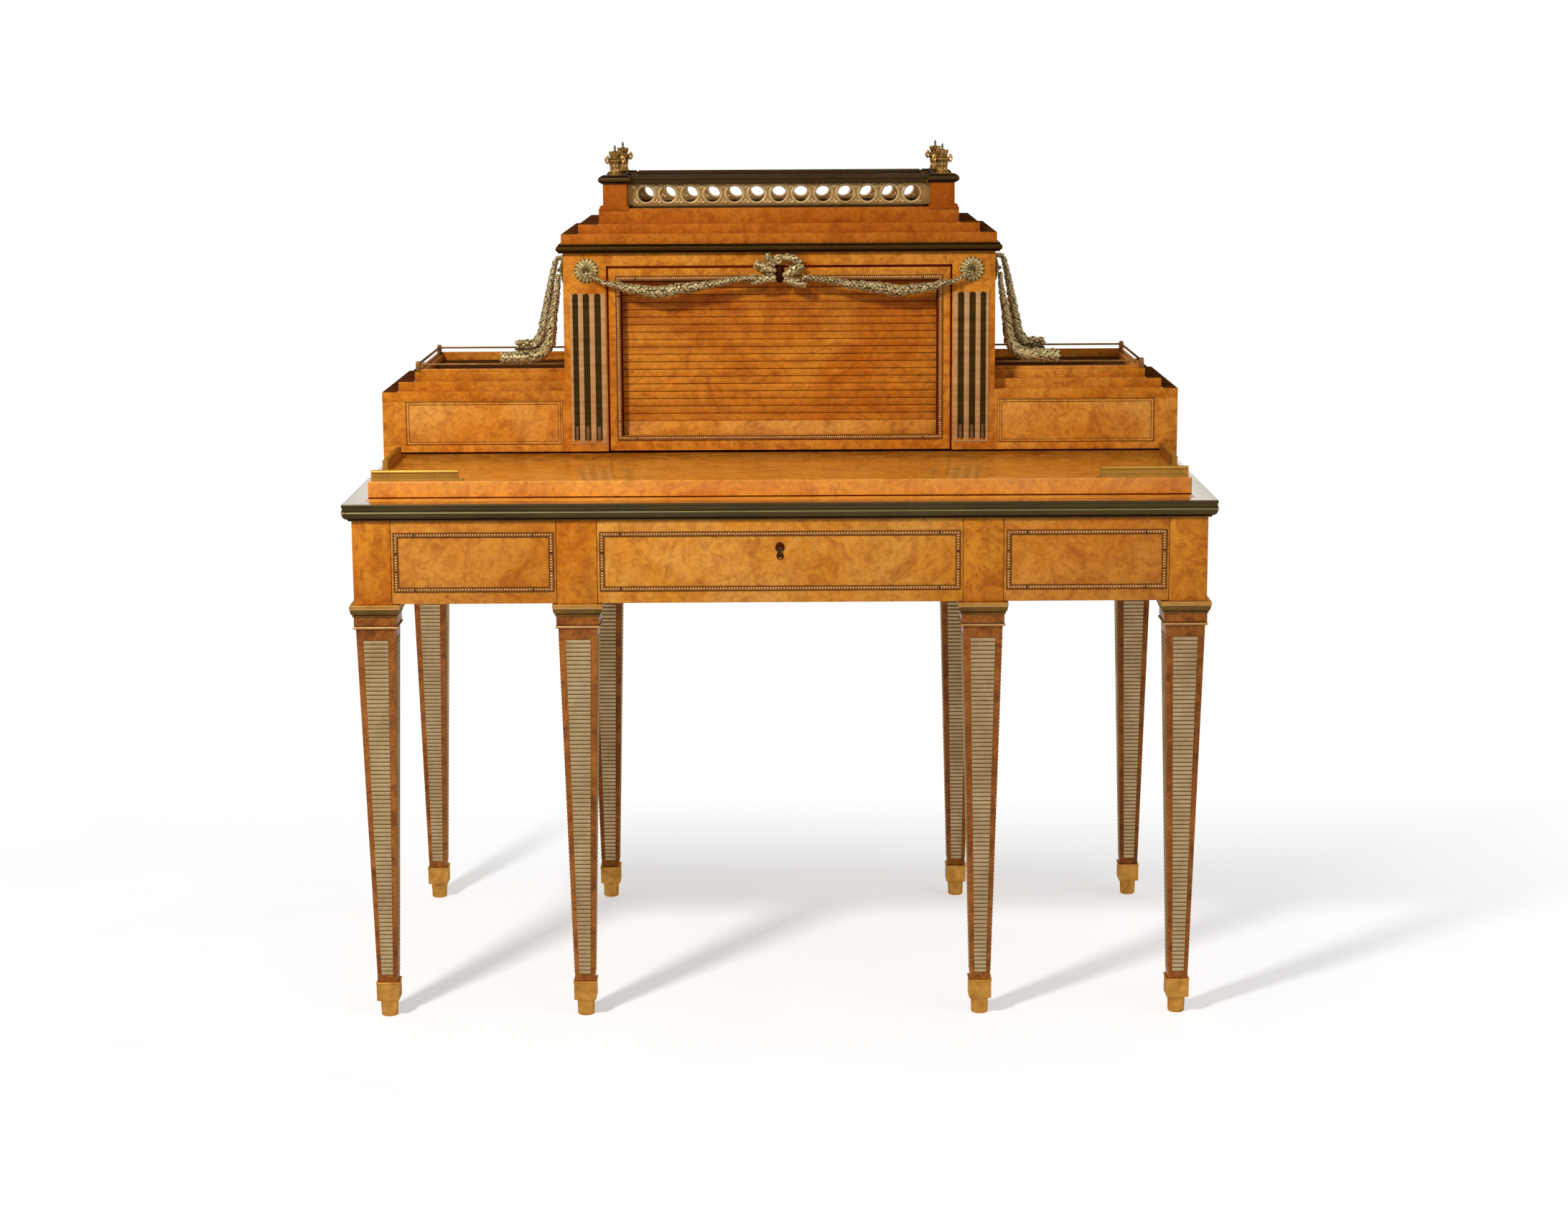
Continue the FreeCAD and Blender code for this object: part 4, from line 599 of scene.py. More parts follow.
def build_floor():
    """A pale floor that keeps the shadow and fades to white all round the desk."""
    bm = bmesh.new()
    bmesh.ops.create_grid(bm, x_segments=1, y_segments=1, size=FLOOR_HALF)
    mesh = bpy.data.meshes.new("floor")
    bm.to_mesh(mesh)
    bm.free()
    white = Finish("floor_white")
    grain = white.noise(3, 2)
    paper = white.mix(white.spread(grain, 0.4, 0.6), (0.77, 0.765, 0.76), (0.79, 0.785, 0.78))
    seen = white.seen()
    away = white.add("ShaderNodeVectorMath", {0: white.place, 1: (LAMP.x, LAMP.y, 0)},
                     operation="DISTANCE").outputs["Value"]
    level = white.math("POWER", white.spread(away, 2.0, 4.4), 0.6)
    level = white.spread(level, 0, 1, 0.275, 0.575)
    place = white.add("ShaderNodeSeparateXYZ", {0: white.place}).outputs
    fade = 0.0
    for axis, near, far in FADES:
        fade = white.math("MAXIMUM", fade, white.spread(place[axis], near, far))
    fade = white.math("MULTIPLY", fade, seen)
    paper = white.mix(fade, paper, (0.0, 0.0, 0.0))
    white.set(Base_Color=paper, Roughness=0.95, Specular_IOR_Level=0.0,
              Emission_Color=(1.0, 1.0, 1.0, 1.0),
              Emission_Strength=white.math("MULTIPLY", seen, white.spread(fade, 0, 1, level, 1)))
    mesh.materials.append(white.material)
    placed("floor", mesh)


def build_light():
    """Soft light from all round, a lamp at the left and a weaker light from the right."""
    scene = bpy.context.scene
    scene.view_settings.view_transform = "Standard"
    sizes = scene.desk_sizes
    scene.world = bpy.data.worlds.new("studio")
    scene.world.use_nodes = True
    sky = Nodes(scene.world.node_tree)
    back = sky.tree.nodes["Background"].inputs
    sky.put(back["Color"], (1, 1, 1, 1))
    sky.put(back["Strength"], sky.spread(sky.seen(), 0, 1, sizes.ambient, 1.0))

    data = bpy.data.lights.new("key_light", "AREA")
    data.shape = "DISK"
    data.size = 0.4
    data.energy = sizes.key_light
    turn = (LAMP - LAMP_AIM).to_track_quat("Z", "Y").to_matrix().to_4x4()
    placed("key_light", data, Matrix.Translation(LAMP) @ turn)

    data = bpy.data.lights.new("fill_light", "SUN")
    data.energy = sizes.fill_light
    data.angle = math.radians(60)
    placed("fill_light", data,
           Vector((0.75, -0.6, 0.28)).to_track_quat("Z", "Y").to_matrix().to_4x4())


def build_camera():
    """A camera at the viewing angle that was fitted to the outline of the desk."""
    data = bpy.data.cameras.new("camera")
    data.sensor_width = SENSOR_MM
    data.lens = SENSOR_MM * FOCAL_LENGTH / IMAGE_WIDTH
    data.clip_end = 200
    yaw, pitch, roll = (math.radians(angle) for angle in (YAW, PITCH, ROLL))
    ahead = Vector((math.sin(yaw) * math.cos(pitch), math.cos(yaw) * math.cos(pitch),
                    math.sin(pitch)))
    level_right = Vector((math.cos(yaw), -math.sin(yaw), 0))
    level_up = level_right.cross(ahead)
    right = level_right * math.cos(roll) + level_up * math.sin(roll)
    up = level_up * math.cos(roll) - level_right * math.sin(roll)
    turn = Matrix((right, up, -ahead)).transposed().to_4x4()
    bpy.context.scene.camera = placed("camera", data, Matrix.Translation(CAMERA) @ turn)


# Legs

def leg_half(z):
    """Half the width of a leg's shaft at a height."""
    share = (z - SHAFT_Z[0]) / (SHAFT_Z[1] - SHAFT_Z[0])
    return SHAFT_HALF[0] + (SHAFT_HALF[1] - SHAFT_HALF[0]) * share


def build_legs():
    """The wood of the eight legs."""
    dress_solid("front_legs", "leg", "front_leg_wood")
    dress_solid("back_legs", "leg", "back_leg_wood")


def build_rib_panels():
    """Half-round brass ribs across the four faces of each leg, on a thin dark plate that shows
    between the ribs as painted shade.
    """
    low, top = 65.0, 574.0
    low_half, top_half = 8.5, 18.0
    plate_rise, rib_rise = 0.35, 1.2
    count = round((top - low) / (bpy.context.scene.desk_sizes.rib_pitch / MM))
    pitch = (top - low) / count
    slope = math.atan2(leg_half(top) - leg_half(low), top - low)

    def half_width(z):
        return low_half + (top_half - low_half) * (z - low) / (top - low)

    rib = bmesh.new()
    outline = [rib.verts.new((-1, -depth, height))
               for height, depth in arc((0, 0.1), (pitch * 0.44, rib_rise), 0, 180, 5)]
    push_out(rib, rib.faces.new(outline), (2, 0, 0))
    ribs, plates, bm = [], bmesh.new(), bmesh.new()
    for face in (move(x, y, 0) @ rotate(quarter * math.pi / 2, "Z")
                 for x, y in LEGS for quarter in range(4)):
        for z in (low + pitch * (index + 0.5) for index in range(count)):
            ribs.append(face @ move(0, -leg_half(z), z) @ rotate(slope, "X")
                        @ sized(half_width(z), 1, 1))
        loft(plates, [[face @ Vector((w * half_width(z), -leg_half(z) - out, z))
                       for w, z in ((-1, low), (1, low), (1, top), (-1, top))]
                      for out in (0.0, plate_rise)])
    stamp(bm, outward(rib), ribs)
    finish("leg_ribs", bm, "rib", "leg_rib_panels")
    finish("leg_rib_grounds", outward(plates), "groove", "leg_rib_panels", beside=True)


def build_capitals():
    """The bronze capitals and the bright astragals under the necks."""
    neck_half, shaft_half, band_z = 31, 28.5, 620.8
    capital = ([(0, 609), (1.2, 609), (1.6, 609.6), (1.6, 611.2), (1.0, 611.8)]
               + arc((1.2, 620.6), (3.4, 8.4), -88, -4, 6)
               + [(4.9, 621.2), (5.3, 621.8), (5.35, 626.3), (4.9, 626.9), (0, 626.9)])
    upper = [(3.0, 619.9), (5.0, 620.3), (5.4, 621.0), (5.2, 621.8), (3.0, 622)]
    lip = [(-0.2, 590.4)] + arc((1.4, 593), (2.5, 2.2), -90, 90, 6) + [(-0.2, 595.6)]
    bm, rings = bmesh.new(), bmesh.new()
    for x, y in LEGS:
        square_moulding(bm, x, y, neck_half, capital)
        square_moulding(rings, x, y, shaft_half, lip)
        square_moulding(rings, x, y, neck_half, upper)
    for face in merged(bm).faces:
        face.material_index = int(face.calc_center_median().z > band_z)
    finish("capitals", bm, "capital abacus", "leg_capitals")
    finish("astragals", merged(rings), "lip", "leg_capitals", beside=True)


def build_sabots():
    """A square cup with a rim over a round toe with a collar."""
    cup = ([(-1.9, 54), (0.2, 54), (0.8, 53.4), (0.8, 51.6), (0.2, 51), (0, 50.4), (0, 27)]
           + arc((-1.5, 27), (1.5, 1.9), 0, -90, 3) + [(-9, 25.05)])
    toe = [(0, 25.4), (13.2, 25.4), (14, 24.6), (14, 22.8), (13.2, 22), (12.9, 19), (12.6, 12),
           (12.3, 6), (12.5, 4.4), (12.3, 2.0), (11.6, 0.6), (10.8, 0), (0, 0)]
    bm = bmesh.new()
    for x, y in LEGS:
        square_moulding(bm, x, y, 16.5, cup, closed=False)
    stamp(bm, turned(toe, 28), [move(x, y, 0) for x, y in LEGS])
    finish("sabots", outward(bm), "gilt", "leg_sabots")


# Frieze and table top

def build_frieze():
    """The boards of the frieze and of the top, with oak guides inside."""
    dress_solid("frieze_stiles", "frieze", "frieze_stile_wood")
    dress_boards("frieze_boards", "frieze", "frieze_board_wood")
    dress_solid("table_top", "slab", "table_top_wood")
    paint("oak_deep", "drawer_partitions", "drawer_runners")


def build_table_edge():
    """The bronze border, fascia and ovolo round the top, with its gilt line."""
    profile = ([(-17.5, 773.6), (-17.5, 775), (11, 775)] + arc((11, 773.5), (1.5, 1.5), 90, 0, 3)
               + [(12.5, 771.5), (11.6, 770.9), (11.6, 766.2), (12.5, 765.6), (12.5, 764.2),
                  (10.5, 764), (10.5, 761), (11.9, 761)]
               + arc((3.9, 760.4), (8, 8), 0, -80, 6)
               + [(4.2, 751.2), (4.2, 750), (0, 750), (0, 773.6)])
    line = [(9, 761.1)] + arc((11.7, 762.5), (1.4, 1.4), -80, 80, 5) + [(9, 763.9)]
    bm = bmesh.new()
    moulding(bm, (-FRIEZE_X, -FRIEZE_Y), (FRIEZE_X, FRIEZE_Y), profile)
    level, top_z = 0.99, 774.9
    for face in merged(bm).faces:
        face.material_index = int(face.normal.z > level and face.calc_center_median().z > top_z)
    finish("table_edge_bronze", bm, "edge land", "table_edge_moulding")
    bm = bmesh.new()
    moulding(bm, (-FRIEZE_X, -FRIEZE_Y), (FRIEZE_X, FRIEZE_Y), line)
    finish("table_edge_fine_line", merged(bm), "line", "table_edge_line")


def bead_frame(node, name, pitch):
    """A row of beads between two thin fillets round a panel, held by small pins."""
    boards = boards_of(node)
    low, high = reach_of(boards)
    width = min(min(size.x, size.z) for size in (board[1] - board[0] for board in boards))
    ground, depth = high.y, high.y - low.y
    rim, pin_from_corner = 0.8, 27
    bm = bmesh.new()
    flat_frames(bm, low, high, ground, ((0, rim, depth * 0.5, 2),
                                        (width - rim, width, depth * 0.5, 2),
                                        (rim, width - rim, depth * 0.15, 1)))
    bead = bmesh.new()
    bmesh.ops.create_uvsphere(bead, u_segments=8, v_segments=6, radius=1)
    bmesh.ops.bisect_plane(bead, geom=bead.verts[:] + bead.edges[:] + bead.faces[:],
                           plane_co=(0, 0, -0.2), plane_no=(0, 0, -1), clear_outer=True)
    bmesh.ops.holes_fill(bead, edges=[edge for edge in bead.edges if edge.is_boundary])
    line = width / 2
    run_x, run_z = high.x - low.x - width, high.z - low.z - width
    places, pins = [], []
    for run, start, step in ((run_x, (low.x + line, low.z + line), (1, 0)),
                             (run_x, (low.x + line, high.z - line), (1, 0)),
                             (run_z, (low.x + line, low.z + line), (0, 1)),
                             (run_z, (high.x - line, low.z + line), (0, 1))):
        count = round(run / pitch)
        for index in range(step[1], count + step[0]):
            along = run * index / count
            places.append((start[0] + step[0] * along, start[1] + step[1] * along))
        for along in (pin_from_corner, run - pin_from_corner):
            pins.append((start[0] + step[0] * along, start[1] + step[1] * along))
    lying = sized(pitch * 0.38, line - 0.9, depth * 0.85)
    upright = sized(line - 0.9, pitch * 0.38, depth * 0.85)
    stamp(bm, bead, [move(x, ground - depth * 0.05, z) @ FACING_FRONT
                     @ (upright if low.z + width < z < high.z - width else lying)
                     for x, z in places])
    pin = turned([(0, 0), (2.0, 0), (2.0, depth * 0.6), (1.3, depth * 0.9), (0, depth)], 10)
    marked(pin.faces, 2)
    stamp(bm, pin, [move(x, ground, z) @ FACING_FRONT for x, z in pins])
    finish(name, bm, "bead ground pin", node)


def build_bead_frames():
    """The frames of the drawers, and the door's finer one."""
    finer = 0.78
    pitch = bpy.context.scene.desk_sizes.bead_pitch / MM
    for drawer in ("centre", "left", "right"):
        bead_frame(drawer + "_drawer_beads", drawer + "_drawer_bead_frame", pitch)
    bead_frame("door_beads", "door_bead_frame", pitch * finer)


# Drawers

def build_drawers():
    """Veneered fronts on oak boxes, and the lock."""
    for drawer, look in (("centre", "drawer"), ("left", "side_drawer"), ("right", "side_drawer")):
        dress_solid(drawer + "_drawer_front", look, drawer + "_drawer_face")
        dress_boards(drawer + "_drawer_box", "oak_deep", drawer + "_drawer_oak")
    paint("steel", "lock_case", "lock_bolt")


def build_escutcheon():
    """The dark keyhole plate, with its outline drawn out a little."""
    piece = dress_solid("keyhole_escutcheon", "escutcheon", "escutcheon_plate")
    middle_z, wider, taller = 703.5 * MM, 1.1, 1.22
    piece.data.transform(move(0, 0, middle_z) @ sized(wider, 1, taller) @ move(0, 0, -middle_z))


# Writing slide

def build_slide():
    """The writing board, with a dark strip of painted shadow along its lower front edge."""
    dress_solid("writing_slab", "slab", "slab_wood")
    bm = bmesh.new()
    # A dark strip of painted shadow where the slab meets the table edge
    block(bm, (-598.5, -302.3, 775.4), (598.5, -301, 777.0), 0.3)
    finish("slab_wear_line", bm, "seam", "writing_slab", beside=True)


def build_slab_rails():
    """Moulded brass rails: a foot, a web with upright reeds and a rounded cap."""
    half = [(5.0, 0), (5.0, 2.2), (4.3, 3.0), (3.4, 3.6), (2.9, 4.2), (2.9, 10.6),
            (3.6, 11.2), (4.25, 12.0), (4.25, 13.6), (3.3, 15.0), (1.6, 15.4)]
    slab_top, web_foot, web_half, pitch = 799.8, 4.2, 2.9, 2.9
    for node, start, end in (("slab_front_rails", (468, -288), (595, -288)),
                             ("slab_side_rails", (590, -176), (590, -15))):
        bm, reed, reeds = bmesh.new(), bmesh.new(), []
        for side in (-1, 1):
            first = (start[0] * side, start[1])
            along, across = straight_moulding(bm, half, first, (end[0] * side, end[1]), slab_top)
            for index in range(int(along.length / pitch)):
                foot = (Vector((*first, slab_top + web_foot))
                        + along.normalized() * pitch * (index + 0.5))
                reeds += [Matrix.Translation(foot + across * out)
                          for out in (-web_half, web_half)]
        outward(bm)
        drum(reed, 0.95, (0, 0, 0), (0, 0, 6.6), 8)
        stamp(bm, reed, reeds)
        if node == "slab_front_rails":
            mirrored_blocks(bm, (461, -292, slab_top), (468, -284, slab_top + 2.6), 0.5)
        finish(node + "_brass", bm, "rail", node)


# Upper case and wings

def build_case():
    """The boards of the case, with dark strips on the tops of its steps that are partly painted
    shade, dark plates of painted shade in the wing trays, and painted shadow lines round its door.
    """
    looks = {"wing_carcases": "wing", "wing_stepped_tops": "wing", "attic_steps": "step"}
    for node in ("wing_carcases", "wing_face_frames", "wing_stepped_tops", "case_bearers",
                 "case_base", "cabinet_carcase", "frieze_rail", "pilasters", "door_frame",
                 "attic_steps"):
        dress_boards(node, looks.get(node, "case"), node + "_wood")
    ledge_back, ledge_rise = 344, 0.15
    # Dark strips on the step tops: partly their own darker tone, partly painted shade
    for node, ledges in (
            ("wing_stepped_tops", ((594.4, 616.6, 9.6, 897), (571.4, 593.6, 33, 910.5))),
            ("attic_steps", ((310.4, 334.6, 7.6, 1139), (279.9, 309.6, 33, 1152.5)))):
        ledge_shades = bmesh.new()
        for inner, outer, front, z in ledges:
            mirrored_blocks(ledge_shades, (inner, front, z), (outer, ledge_back, z + ledge_rise))
        finish(node + "_bandings", ledge_shades, "ledge", node, beside=True)
    trays, stiles, shadow_lines = bmesh.new(), bmesh.new(), bmesh.new()
    # Dark plates on the tray floors: painted shade in the wing trays
    mirrored_blocks(trays, (333.3, 67.6, 914.9), (558.4, 338.4, 915.1))
    finish("wing_tray_floors", trays, "ledge", "wing_stepped_tops", beside=True)
    mirrored_blocks(stiles, (333.1, 9.2, 814.3), (337.2, 20, 881.8), 0.3)
    finish("wing_inner_stiles", stiles, "case", "wing_face_frames", beside=True)
    # Dark strips of painted shadow in the seams round the door frame and beside the wing stiles,
    # and of painted shade in the reveal and under the top of the tambour's opening
    mirrored_blocks(shadow_lines, (263.4, 9.3, 804), (266.9, 10.2, 1089), 0.2)
    mirrored_blocks(shadow_lines, (243, 13.5, 814.5), (246.7, 26.8, 1070), 0.2)
    mirrored_blocks(shadow_lines, (337.1, 8.9, 814.3), (337.4, 10.2, 881.8))
    block(shadow_lines, (-266.9, 9.3, 1086.4), (266.9, 10.2, 1090), 0.2)
    block(shadow_lines, (-246, 13.5, 1065.2), (246, 26.8, 1068.8), 0.2)
    finish("door_seams", shadow_lines, "seam", "door_frame", beside=True)
    paint("oak", "cabinet_interior", "tambour_tracks")


def build_wing_drawers():
    """Panelled fronts with a string line, and oak boxes."""
    stile = 2.5
    for side in ("left", "right"):
        dress_solid(side + "_wing_drawer_front", "panel", side + "_wing_drawer_face")
        dress_boards(side + "_wing_drawer_box", "oak_deep", side + "_wing_drawer_oak")
        node = side + "_wing_drawer_string"
        low, high = reach_of(boards_of(node))
        if side == "left":
            high.x -= stile
        else:
            low.x += stile
        bm = bmesh.new()
        flat_frames(bm, low, high, CASE_Y,
                    ((0.4, 1.2, 0.5, 1), (1.2, 3.8, 0.6, 0), (3.8, 4.6, 0.5, 1)))
        finish(side + "_wing_string", bm, "panel string", node)


def build_wing_galleries():
    """A wooden band with a brass bar over it round the top of each wing, and corner posts."""
    bm, wood = bmesh.new(), bmesh.new()
    line_x, line_y, post, knob = 566, (60, 346), 3.5, 2.7
    # Half the thickness, the heights and the rounding of the band and of the bar
    runs = ((wood, 2, 923.5, 928, 0.5), (bm, 1.6, 933.6, 936.5, 0.6))
    for part, half, low, top, soft in runs:
        for y in line_y:
            mirrored_blocks(part, (CABINET_X, y - half, low), (line_x - post, y + half, top), soft)
        mirrored_blocks(part, (line_x - half, line_y[0] + post, low),
                        (line_x + half, line_y[1] - post, top), soft)
    for y in line_y:
        for half, low, top, soft in ((post, 923.5, 938.4, 0.5), (knob, 938.3, 939.8, 0.6)):
            mirrored_blocks(bm, (line_x - half, y - half, low), (line_x + half, y + half, top),
                            soft)
    finish("wing_gallery_brass", bm, "bar", "wing_galleries")
    finish("wing_gallery_bands", wood, "wing", "wing_stepped_tops", beside=True)


# Pilasters

def build_flutes():
    """Dark flutes with round tops and reeds at the foot, between pale fillets."""
    dark, bright, reeds = bmesh.new(), bmesh.new(), bmesh.new()
    flute_low, flute_top, reed_top, fillet_low = 821, 1048, 842, 817
    grooves = ((275.6, 285.2), (293.2, 302.9), (310.5, 319.0))
    edges = (268.2, *(x for pair in grooves for x in pair), 323.4)
    for inner, outer in zip(edges[::2], edges[1::2]):
        mirrored_blocks(bright, (inner, CASE_Y - 1.4, fillet_low), (outer, CASE_Y, flute_top),
                        0.4)
    mirrored_blocks(bright, (edges[0], CASE_Y - 1.2, 815.4), (edges[-1], CASE_Y, 817.2), 0.4)
    for middle, half in ((side * (inner + outer) / 2, (outer - inner) / 2)
                         for side in (-1, 1) for inner, outer in grooves):
        outline = [(middle - half, flute_low), (middle + half, flute_low)]
        outline += arc((middle, flute_top - half), (half, half), 0, 180, 10)
        loft(dark, [[(x, y, z) for x, z in outline] for y in (CASE_Y, CASE_Y - 0.4)])
        drum(reeds, half * 0.62, (middle, CASE_Y + 0.6, flute_low),
             (middle, CASE_Y + 0.6, reed_top), 12)
    finish("flute_grounds", merged(dark), "inlay", "flute_inlays")
    finish("flute_reeds", merged(reeds), "reed", "flute_inlays", beside=True)
    finish("flute_fillets", merged(bright), "fillet", "pilaster_fillets")


# Tambour

def build_tambour():
    """Slats with rounded fronts on their canvas, as one piece; on the desk they gather as the rail
    goes up.
    """
    boards = boards_of("tambour_slats")
    bm = bmesh.new()
    for low, high in boards[:-1]:
        section = [(high.y, low.z), (high.y, high.z)]
        section += [(low.y + 1.3, high.z), (low.y + 0.35, high.z - 0.7), (low.y, high.z - 2.2),
                    (low.y, low.z + 2.2), (low.y + 0.35, low.z + 0.7), (low.y + 1.3, low.z)]
        loft(bm, [[(x, y, z) for y, z in section] for x in (low.x, high.x)])
    low, high = boards[-1]
    block(bm, low, high)
    piece = finish("tambour_curtain", outward(bm), "slat", "tambour_slats")
    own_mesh(piece)
    dress_boards("tambour_rail", "panel", "tambour_rail_wood")


# Cornice and gallery

def build_cornice():
    """The bronze torus between two fillets."""
    profile = ([(0, 1110), (6.5, 1110), (6.5, 1111.2)]
               + arc((3.6, 1116.8), (6.4, 5.6), -90, 90, 10)
               + [(6.5, 1122.4), (6.5, 1123.5), (0, 1123.5)])
    bm = bmesh.new()
    moulding(bm, (-CABINET_X, CASE_Y), (CABINET_X, FRIEZE_Y), profile)
    finish("cornice_bronze", merged(bm), "cornice", "cornice_moulding")


def build_coping():
    """Post caps with a moulded edge, the coping boards between them, and the posts' plinths."""
    bm, plinths = bmesh.new(), bmesh.new()
    cap = ([(0, POST_TOP), (2.2, POST_TOP), (2.6, POST_TOP + 1.2)]
           + arc((2.6, POST_TOP + 6.3), (4.4, 5), -80, 80, 8)
           + [(2.4, CAP_TOP - 1.0), (1.2, CAP_TOP), (-10, CAP_TOP)])
    for x, y in POSTS:
        square_moulding(bm, x, y, 18.5, cap, closed=False)
    half = [(12, 0), (12, 1.6), (11.2, 2.4), (11.2, 5.5), (12, 6.5), (12, 10.6), (10.4, 12.6)]
    cap_half = 25.5
    end_x, end_y = POST_X - cap_half, (POST_Y[0] + cap_half, POST_Y[1] - cap_half)
    for start, stop in ([((-end_x, y), (end_x, y)) for y in POST_Y]
                        + [((x, end_y[0]), (x, end_y[1])) for x in (-POST_X, POST_X)]):
        straight_moulding(bm, half, start, stop, POST_TOP)
    finish("coping_bronze", outward(bm), "coping", "attic_coping")
    for low, high in ((POST_Y[0] - 26.4, POST_Y[0] + 22), (POST_Y[1] - 22, POST_Y[1] + 26.4)):
        mirrored_blocks(plinths, (POST_X - 21.5, low, 1172), (POST_X + 23.4, high, 1178.6), 0.7)
    finish("post_plinths", plinths, "post", "attic_posts", beside=True)
    dress_solid("attic_posts", "post", "attic_post_wood")


def leaf_shape(length, width, thickness, curl):
    """A pointed leaf along +X with its stalk at the origin and its face towards +Z."""
    bm = bmesh.new()
    bmesh.ops.create_icosphere(bm, subdivisions=1, radius=1)
    for vert in bm.verts:
        along = (vert.co.x + 1) / 2
        narrow = math.sin(math.pi * min(1.0, along * 0.85 + 0.1)) ** 0.8
        vert.co = (along * length, vert.co.y * narrow * width / 2,
                   vert.co.z * thickness / 2 * narrow + curl * length * (along - along ** 2))
    return bm


def fret_plate(low, high, centres, radius, top):
    """A thin plate from one end to the other with a round hole for each centre."""
    bm = bmesh.new()
    steps = [math.radians(180 - 15 * k) for k in range(13)]
    for sign, edge in ((1, top), (-1, -top)):
        outline = [(low, 0)]
        for centre in centres:
            outline += [(centre + radius * math.cos(a), sign * radius * math.sin(a))
                        for a in steps]
        outline += [(high, 0), (high, edge), (low, edge)]
        verts = [bm.verts.new((x, -0.8, z)) for x, z in outline]
        push_out(bm, bm.faces.new(verts), (0, 1.6, 0))
    return outward(bm)


def build_frets():
    """Plates pierced by touching rings, with leafy fillings between, and plain bars."""
    rings, leaves, bm, bars, plates = [], [], bmesh.new(), bmesh.new(), bmesh.new()
    centre_z, pitch, bar_half = ATTIC_Z + 21.0, 34.5, 1.9
    sides = [((0, y), 0, 236, 13) for y in POST_Y]
    sides += [((x, sum(POST_Y) / 2), math.pi / 2, 94.75, 5) for x in (-POST_X, POST_X)]
    for (x, y), turn, half, count in sides:
        line = move(x, y, 0) @ rotate(turn, "Z")
        reach = (half, bar_half) if turn == 0 else (bar_half, half)
        for low, high, soft in ((ATTIC_Z, ATTIC_Z + 4.2, 0.5), (POST_TOP - 1.6, POST_TOP, 0.3)):
            block(bars, (x - reach[0], y - reach[1], low), (x + reach[0], y + reach[1], high),
                  soft)
        centres = [pitch * (index - (count - 1) / 2) for index in range(count)]
        stamp(plates, fret_plate(-half, half, centres, 13.2, 17.0), [line @ move(0, 0, centre_z)])
        rings += [line @ move(spot, 0, centre_z) @ FACING_FRONT for spot in centres]
        for index in range(count + 1):
            place = line @ move(pitch * (index - count / 2), 0, centre_z)
            for z, lean in ((-16.0, (38, 90, 142)), (15.6, (-52, -90, -128))):
                for angle in lean:
                    if index in (0, count) and (angle % 180 > 90) == (index == 0):
                        continue
                    leaves += [place @ move(0, -0.9 * face, z) @ rotate(-math.radians(angle), "Y")
                               @ rotate(face * math.pi / 2, "X") for face in (1, -1)]
    stamp(bm, plates, [Matrix()])
    # The plates take the darker bronze: painted shade for the frets seen from behind
    marked(bm.faces, 1)
    stamp(bm, ring(14.2, 2.5, 28, 8, 0.7), rings)
    stamp(bm, leaf_shape(9.6, 4.6, 2.0, 0.12), leaves)
    finish("fret_rings", bm, "fret fret_fill", "attic_frets")
    finish("fret_bars", bars, "coping", "attic_frets", beside=True)


def build_finials():
    """Leafy vases with two handles, a crown of upright leaves and a thin spire."""
    vase = [(0, 0), (9.6, 0), (9.6, 1.6), (8.4, 2.6), (8.0, 5), (7.6, 9), (7.8, 13), (8.6, 16),
            (9.4, 19), (10.2, 21), (10.4, 23.4), (9.0, 25.2), (7.2, 26.8), (6.8, 28.4), (7.6, 31),
            (8.6, 33.6), (8.8, 35.4), (7.0, 36.4), (3.4, 37.2), (0, 37.6)]
    spire = [(0, 36.4), (3.0, 37.2), (1.8, 38.6), (1.3, 40.4), (1.9, 42.0), (2.0, 43.2),
             (1.2, 45.0), (0.6, 46.4), (0, 47.3)]
    bm = bmesh.new()
    spots = [move(x, y, CAP_TOP) for x, y in POSTS]
    stamp(bm, turned(vase, 28), spots)
    marked(bm.faces, 1)
    stamp(bm, ring(8.9, 1.1, 24, 6), [spot @ move(0, 0, 1.2) for spot in spots])
    stamp(bm, ring(9.9, 1.0, 24, 6), [spot @ move(0, 0, 22.8) for spot in spots])
    for count, radius, height, size, lean in ((10, 7.6, 2.2, (9.5, 5.0, 2.0), 88),
                                              (10, 7.4, 9.6, (11.0, 5.2, 2.2), 80),
                                              (9, 6.8, 27.0, (11.5, 5.6, 2.4), 74)):
        stamp(bm, leaf_shape(*size, 0.14),
              [spot @ rotate(angle + height, "Z") @ move(radius, 0, height)
               @ rotate(-math.radians(lean), "Y")
               for spot in spots for angle in circle_angles(count)])
    stamp(bm, ring(2.9, 2.1, 18, 7),
          [spot @ move(12.0 * side, 0, 24.0) @ FACING_FRONT @ sized(0.85, 1.3, 0.9)
           for spot in spots for side in (-1, 1)])
    before = len(bm.faces)
    stamp(bm, turned(spire, 14), spots)
    bm.faces.ensure_lookup_table()
    marked(bm.faces[before:], 2)
    finish("finial_vases", bm, "finial capital spire", "finials")


# Gilt ornaments

